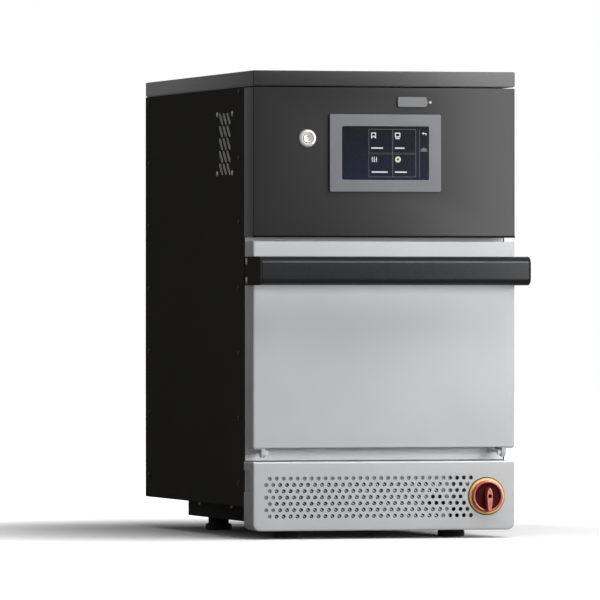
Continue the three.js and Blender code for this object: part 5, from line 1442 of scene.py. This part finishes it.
class OVEN_OT_filter_panel(bpy.types.Operator):
    """Fold the perforated panel, with a finger grip, a notch and a stud in each side"""

    bl_idname = "oven.filter_panel"
    bl_label = "Filter panel"

    def execute(self, context):
        low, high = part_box("filter_panel")
        switch_place = centre_of("switch_escutcheon", FRONT)
        bm = bmesh.new()
        verts = block(bm, *zip(low, high))
        lower = [edge for edge in edges_along(verts, 1) if edge.verts[0].co.z < low.z + MM]
        rounded(bm, lower, PANEL_CORNER, 8)
        front = next(face for face in bm.faces if face.normal.y < -0.9)
        rounded(bm, front.edges[:], PANEL_EDGE, 5)
        flat = [face for face in bm.faces if abs(face.normal.y) > 0.99 and len(face.verts) > 4]
        flat.sort(key=lambda face: face.calc_center_median().y)
        rim = flat[0].edges[:]
        bmesh.ops.delete(bm, geom=[flat[0], flat[-1]], context="FACES_ONLY")
        radius = sizes().hole_radius
        holes = [circle(place, radius, HOLE_STEPS) for place in hole_places(switch_place)]
        filled(bm, [*holes, circle(switch_place, SWITCH_OPENING, FINE_STEPS)], rim)
        bmesh.ops.recalc_face_normals(bm, faces=bm.faces)
        for side, inward in ((low.x, RIGHT), (high.x, LEFT)):
            grip = cut_flange(bm, side, GRIP_DEPTHS, GRIP_HEIGHTS)
            bmesh.ops.inset_region(bm, faces=[grip], thickness=GRIP_SLOPE, use_even_offset=True)
            bmesh.ops.translate(bm, vec=inward * GRIP_DENT, verts=grip.verts)
            notch = cut_flange(bm, side, (NOTCH_DEPTH,), NOTCH_HEIGHTS)
            bmesh.ops.delete(bm, geom=[notch], context="FACES")
        bmesh.ops.solidify(bm, geom=bm.faces, thickness=SHEET)
        coat = ("filter_panel", "silver_paint", powder_coat_panel)
        finished("filter_panel_sheet", bm, *coat, ["filter_panel"], 0.25 * MM, 1)
        studs = bmesh.new()
        for side, outward in ((low.x, LEFT), (high.x, RIGHT)):
            place = at(side, STUD_DEPTH, STUD_HEIGHT)
            head(studs, RIVET_HEAD, place, outward, STUD_RADIUS, STUD_RISE)
        finished("panel_side_studs", studs, *coat)
        return {"FINISHED"}


FRAME_WIDTHS = (20.5, 10.2, 7, 20)  # left, right, bottom and top of the filter's frame
FILTER_REACH = 24 * MM  # the photo's filter ends further right than the CAD's
CUP_ACROSS, CUP_HEIGHTS = (60 * MM, 84.9 * MM), (43.2 * MM, 59.4 * MM)  # to pull the filter by
STRAND_WIDTH, STRAND_THICKNESS, STRAND_LENGTH = 1.5 * MM, 0.5 * MM, 160 * MM
# Lean in degrees, pitch and shift across in millimetres, and depth behind the frame's face
STRANDS = ((-48.9, 4.77, 2.9, 0.5), (29.8, 9.54, 0.5, 1.1))


class OVEN_OT_air_filter(bpy.types.Operator):
    """Build the filter's frame, its dark pad, its finger cup and the slanting strands"""

    bl_idname = "oven.air_filter"
    bl_label = "Air filter"

    def execute(self, context):
        low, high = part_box("air_filter")
        high.x += FILTER_REACH
        left, right, bottom, top = (width * MM for width in FRAME_WIDTHS)
        across, heights = (low.x + left, high.x - right), (low.z + bottom, high.z - top)
        bm = bmesh.new()
        outlines = [
            [Vector((x, low.y, z)) for x, z in ((x0, z0), (x1, z0), (x1, z1), (x0, z1))]
            for (x0, x1), (z0, z1) in (((low.x, high.x), (low.z, high.z)), (across, heights))
        ]
        moved_apart(bm, filled(bm, outlines), BACK * (high.y - low.y))
        body = ("filter_panel", "filter_mesh")
        finished("filter_frame", bm, *body, moulded_grey_nylon, ["air_filter"], 0.4 * MM, 2)
        pad_front = low.y + 2 * MM
        boxed("filter_pad", across, (pad_front, high.y - 0.5 * MM), heights, *body, charcoal_foam)
        # The finger cup's near-black foam is painted shade for the dark inside of the open cup
        cup = (CUP_ACROSS, (low.y - 0.2 * MM, pad_front), CUP_HEIGHTS)
        boxed("filter_finger_cup_painted_shade", *cup, *body, charcoal_foam, 0.3 * MM)

        middle = Vector((sum(across) / 2, low.y, sum(heights) / 2))
        reach = (across[1] - across[0] + heights[1] - heights[0]) / 2
        bm = bmesh.new()
        for lean, pitch, shift, depth in STRANDS:
            count = int(reach / MM / pitch)
            start = low.y + depth * MM
            turn = Matrix.Rotation(math.radians(lean), 3, "Y")
            for i in range(-count, count + 1):
                x = middle.x + (i * pitch + shift) * MM
                width = (x - STRAND_WIDTH / 2, x + STRAND_WIDTH / 2)
                length = (middle.z - STRAND_LENGTH / 2, middle.z + STRAND_LENGTH / 2)
                verts = block(bm, width, (start, start + STRAND_THICKNESS), length)
                bmesh.ops.rotate(bm, cent=(x, low.y, middle.z), matrix=turn, verts=verts)
        for limit, direction in zip((*across, *heights), (LEFT, RIGHT, DOWN, UP)):
            geom, place = [*bm.verts, *bm.edges, *bm.faces], (limit, limit, limit)
            cut = bmesh.ops.bisect_plane(
                bm, geom=geom, plane_co=place, plane_no=direction, clear_outer=True
            )
            ends = [edge for edge in cut["geom_cut"] if isinstance(edge, bmesh.types.BMEdge)]
            bmesh.ops.holes_fill(bm, edges=ends)
        bmesh.ops.recalc_face_normals(bm, faces=bm.faces)
        finished("filter_strands", bm, *body, expanded_aluminium)
        return {"FINISHED"}


# Main switch: radius and place in front of the door's plane

PLATE = ((4.5, 3), (22.9, 3), (23.6, 2.8), (24, 2.2), (24, -7.7), (4.5, -7.7))
# A black ring round the plate's edge: it draws the dark line between the plate and the panel
PLATE_DARK_RING = ((24.1, -0.4), (25, -0.4), (25, -2.4), (24.1, -2.4))
KNOB_RIM = (
    (0, 6.1), (12.2, 6.1), (15.2, 6.45), (17.1, 7.4), (17.7, 8.4), (18.2, 9.1), (18.8, 9.3),
    (19.8, 9.25), (20.5, 8.9), (21, 8), (21, 3.7), (20.7, 3.3), (4, 3.3), (4, -19.8), (0, -19.8),
)
KNOB_DISH = (
    (0, 6.25), (12, 6.25), (15, 6.6), (17, 7.55), (17.6, 8.5), (17.5, 7.9), (17, 7.2), (15.2, 6.3),
    (12, 5.9), (0, 5.9),
)
LEVER_HALF = ((2.0, -20.2), (3.3, -11), (4.0, -3), (4.1, 1), (3.9, 4), (3.1, 7.2), (1.8, 9.8))
LEVER_TIP = (0, 11.6)
LEVER_FRONT, LEVER_BACK = 18, 6.2
LEVER_HOLE = 2.4


class OVEN_OT_main_switch(bpy.types.Operator):
    """Turn the switch's plate and knob and shape the lever with its padlock hole"""

    bl_idname = "oven.main_switch"
    bl_label = "Main switch"

    def execute(self, context):
        centre = centre_of("switch_escutcheon", FRONT)
        place = (centre, FORWARD)
        node, knob = "switch_escutcheon", ("main_switch", "red_plastic")
        turned("switch_plate_disc", PLATE, *place, "housing", "yellow_plastic", None, [node], True)
        turned("switch_plate_dark_ring", PLATE_DARK_RING, *place, "housing", "black_rubber", closed=True)
        turned("switch_knob_rim", KNOB_RIM, *place, *knob, None, ["switch_knob"], angle=50)
        turned("switch_knob_dish", KNOB_DISH, *place, *knob, knob_red_painted_shade)

        start = centre + FORWARD * LEVER_FRONT * MM
        mirrored = [(-across, up) for across, up in LEVER_HALF]
        corners = (mirrored[0], *LEVER_HALF, LEVER_TIP, *mirrored[:0:-1])
        outline = [start + Vector((across, 0, up)) * MM for across, up in corners]
        bm = bmesh.new()
        loops = (outline, circle(start, LEVER_HOLE * MM, HEAD_STEPS))
        moved_apart(bm, filled(bm, loops), BACK * (LEVER_FRONT - LEVER_BACK) * MM)
        finished("switch_lever", bm, *knob, None, (), 0.7 * MM, 4)

        # The floor of the lever's hole takes the knob's red, darkened as painted shade
        top, radius = LEVER_BACK + 0.3, LEVER_HOLE + 0.2
        floor = ((0, top), (radius, top), (radius, LEVER_BACK), (0, LEVER_BACK))
        turned("lever_hole_floor", floor, *place, *knob, knob_red_painted_shade)
        dressed_copies(("switch_bracket", "switch_body"), "housing", 0.4 * MM)
        return {"FINISHED"}


# Cavity and fans

class OVEN_OT_cavity(bpy.types.Operator):
    """Round the edges of the cavity's liner, plates and covers"""

    bl_idname = "oven.cavity"
    bl_label = "Cavity"

    def execute(self, context):
        sheets = ("cavity_liner", "upper_jet_plate", "rear_fan_cover", "fan_plenum")
        dressed_copies(sheets, "housing", sizes().sheet_edge)
        dressed_copies(("cook_plate",), "housing", 1.5 * MM, 4)
        dressed_copies(("cavity_insulation",), "housing", 2 * MM)
        dressed_copies(("heater_element",), "housing", 0.3 * MM, 2, 60)
        return {"FINISHED"}


GUARD_RINGS = ((4, 9), (11, 16), (18, 23), (25, 30), (32, 37.5))  # inner and outer radii
GUARD_WIRE = 0.6
GUARD_SPOKE = 2.5 * MM


class OVEN_OT_fans(bpy.types.Operator):
    """Round the edges of both fans and the motor, and set the guard before the cooling fan"""

    bl_idname = "oven.fans"
    bl_label = "Fans"

    def execute(self, context):
        dressed_copies(("cooling_fan_frame",), "housing", 0.5 * MM)
        dressed_copies(("cooling_impeller",), "cooling_fan", 0.4 * MM)
        dressed_copies(("circulation_impeller",), "air_fan", 0.4 * MM)
        dressed_copies(("fan_motor",), "housing", 0.6 * MM)

        centre = centre_of("cooling_fan_frame")
        centre.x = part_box("cooling_fan_frame")[0].x + 0.1 * MM
        bm = bmesh.new()
        for inner, outer in GUARD_RINGS:
            ring = ((inner, 0), (outer, 0), (outer, -GUARD_WIRE), (inner, -GUARD_WIRE))
            spun(bm, ring, centre, LEFT, closed=True)
        reach = GUARD_RINGS[-1][1] * MM
        for turn in (math.radians(45), math.radians(135)):
            depths = (GUARD_WIRE * MM, 2 * GUARD_WIRE * MM)
            verts = block(bm, depths, (-reach, reach), (-GUARD_SPOKE, GUARD_SPOKE))
            bmesh.ops.rotate(bm, cent=(0, 0, 0), matrix=Matrix.Rotation(turn, 3, "X"), verts=verts)
            bmesh.ops.translate(bm, vec=centre, verts=verts)
        finished("cooling_fan_guard", bm, "housing", "zinc_sheet")
        return {"FINISHED"}


class OVEN_OT_microwave_supply(bpy.types.Operator):
    """Round the edges of the magnetron, its guide and the power parts"""

    bl_idname = "oven.microwave_supply"
    bl_label = "Microwave supply"

    def execute(self, context):
        parts = ("magnetron", "waveguide", "transformer", "capacitor", "control_board")
        dressed_copies(parts, "housing", 0.5 * MM)
        return {"FINISHED"}


OPERATORS = (
    OVEN_OT_stage,
    OVEN_OT_node_finishes,
    OVEN_OT_housing_sheets,
    OVEN_OT_vented_sheets,
    OVEN_OT_housing_fasteners,
    OVEN_OT_feet,
    OVEN_OT_cable_gland,
    OVEN_OT_fascia,
    OVEN_OT_screen_marks,
    OVEN_OT_power_button,
    OVEN_OT_usb_port,
    OVEN_OT_door_skin,
    OVEN_OT_door_inside,
    OVEN_OT_hinge_brackets,
    OVEN_OT_handle,
    OVEN_OT_filter_panel,
    OVEN_OT_air_filter,
    OVEN_OT_main_switch,
    OVEN_OT_cavity,
    OVEN_OT_fans,
    OVEN_OT_microwave_supply,
)


class OVEN_PT_panel(bpy.types.Panel):
    """Colours, sizes and pieces of the oven"""

    bl_idname = "OVEN_PT_panel"
    bl_label = "Countertop oven"
    bl_space_type = "VIEW_3D"
    bl_region_type = "UI"
    bl_category = "Oven"

    def draw(self, context):
        for settings in (colours(), sizes()):
            column = self.layout.column(align=True)
            for name in type(settings).__annotations__:
                column.prop(settings, name)
        for operator in OPERATORS:
            self.layout.operator(operator.bl_idname)


CLASSES = (OvenColours, OvenSizes, *OPERATORS, OVEN_PT_panel)


def register():
    for each in CLASSES:
        bpy.utils.register_class(each)
    bpy.types.Scene.oven_colours = bpy.props.PointerProperty(type=OvenColours)
    bpy.types.Scene.oven_sizes = bpy.props.PointerProperty(type=OvenSizes)


def unregister():
    del bpy.types.Scene.oven_sizes
    del bpy.types.Scene.oven_colours
    for each in reversed(CLASSES):
        bpy.utils.unregister_class(each)


def main():
    register()
    for operator in OPERATORS:
        group, name = operator.bl_idname.split(".")
        getattr(getattr(bpy.ops, group), name)()


if __name__ == "__main__":
    main()
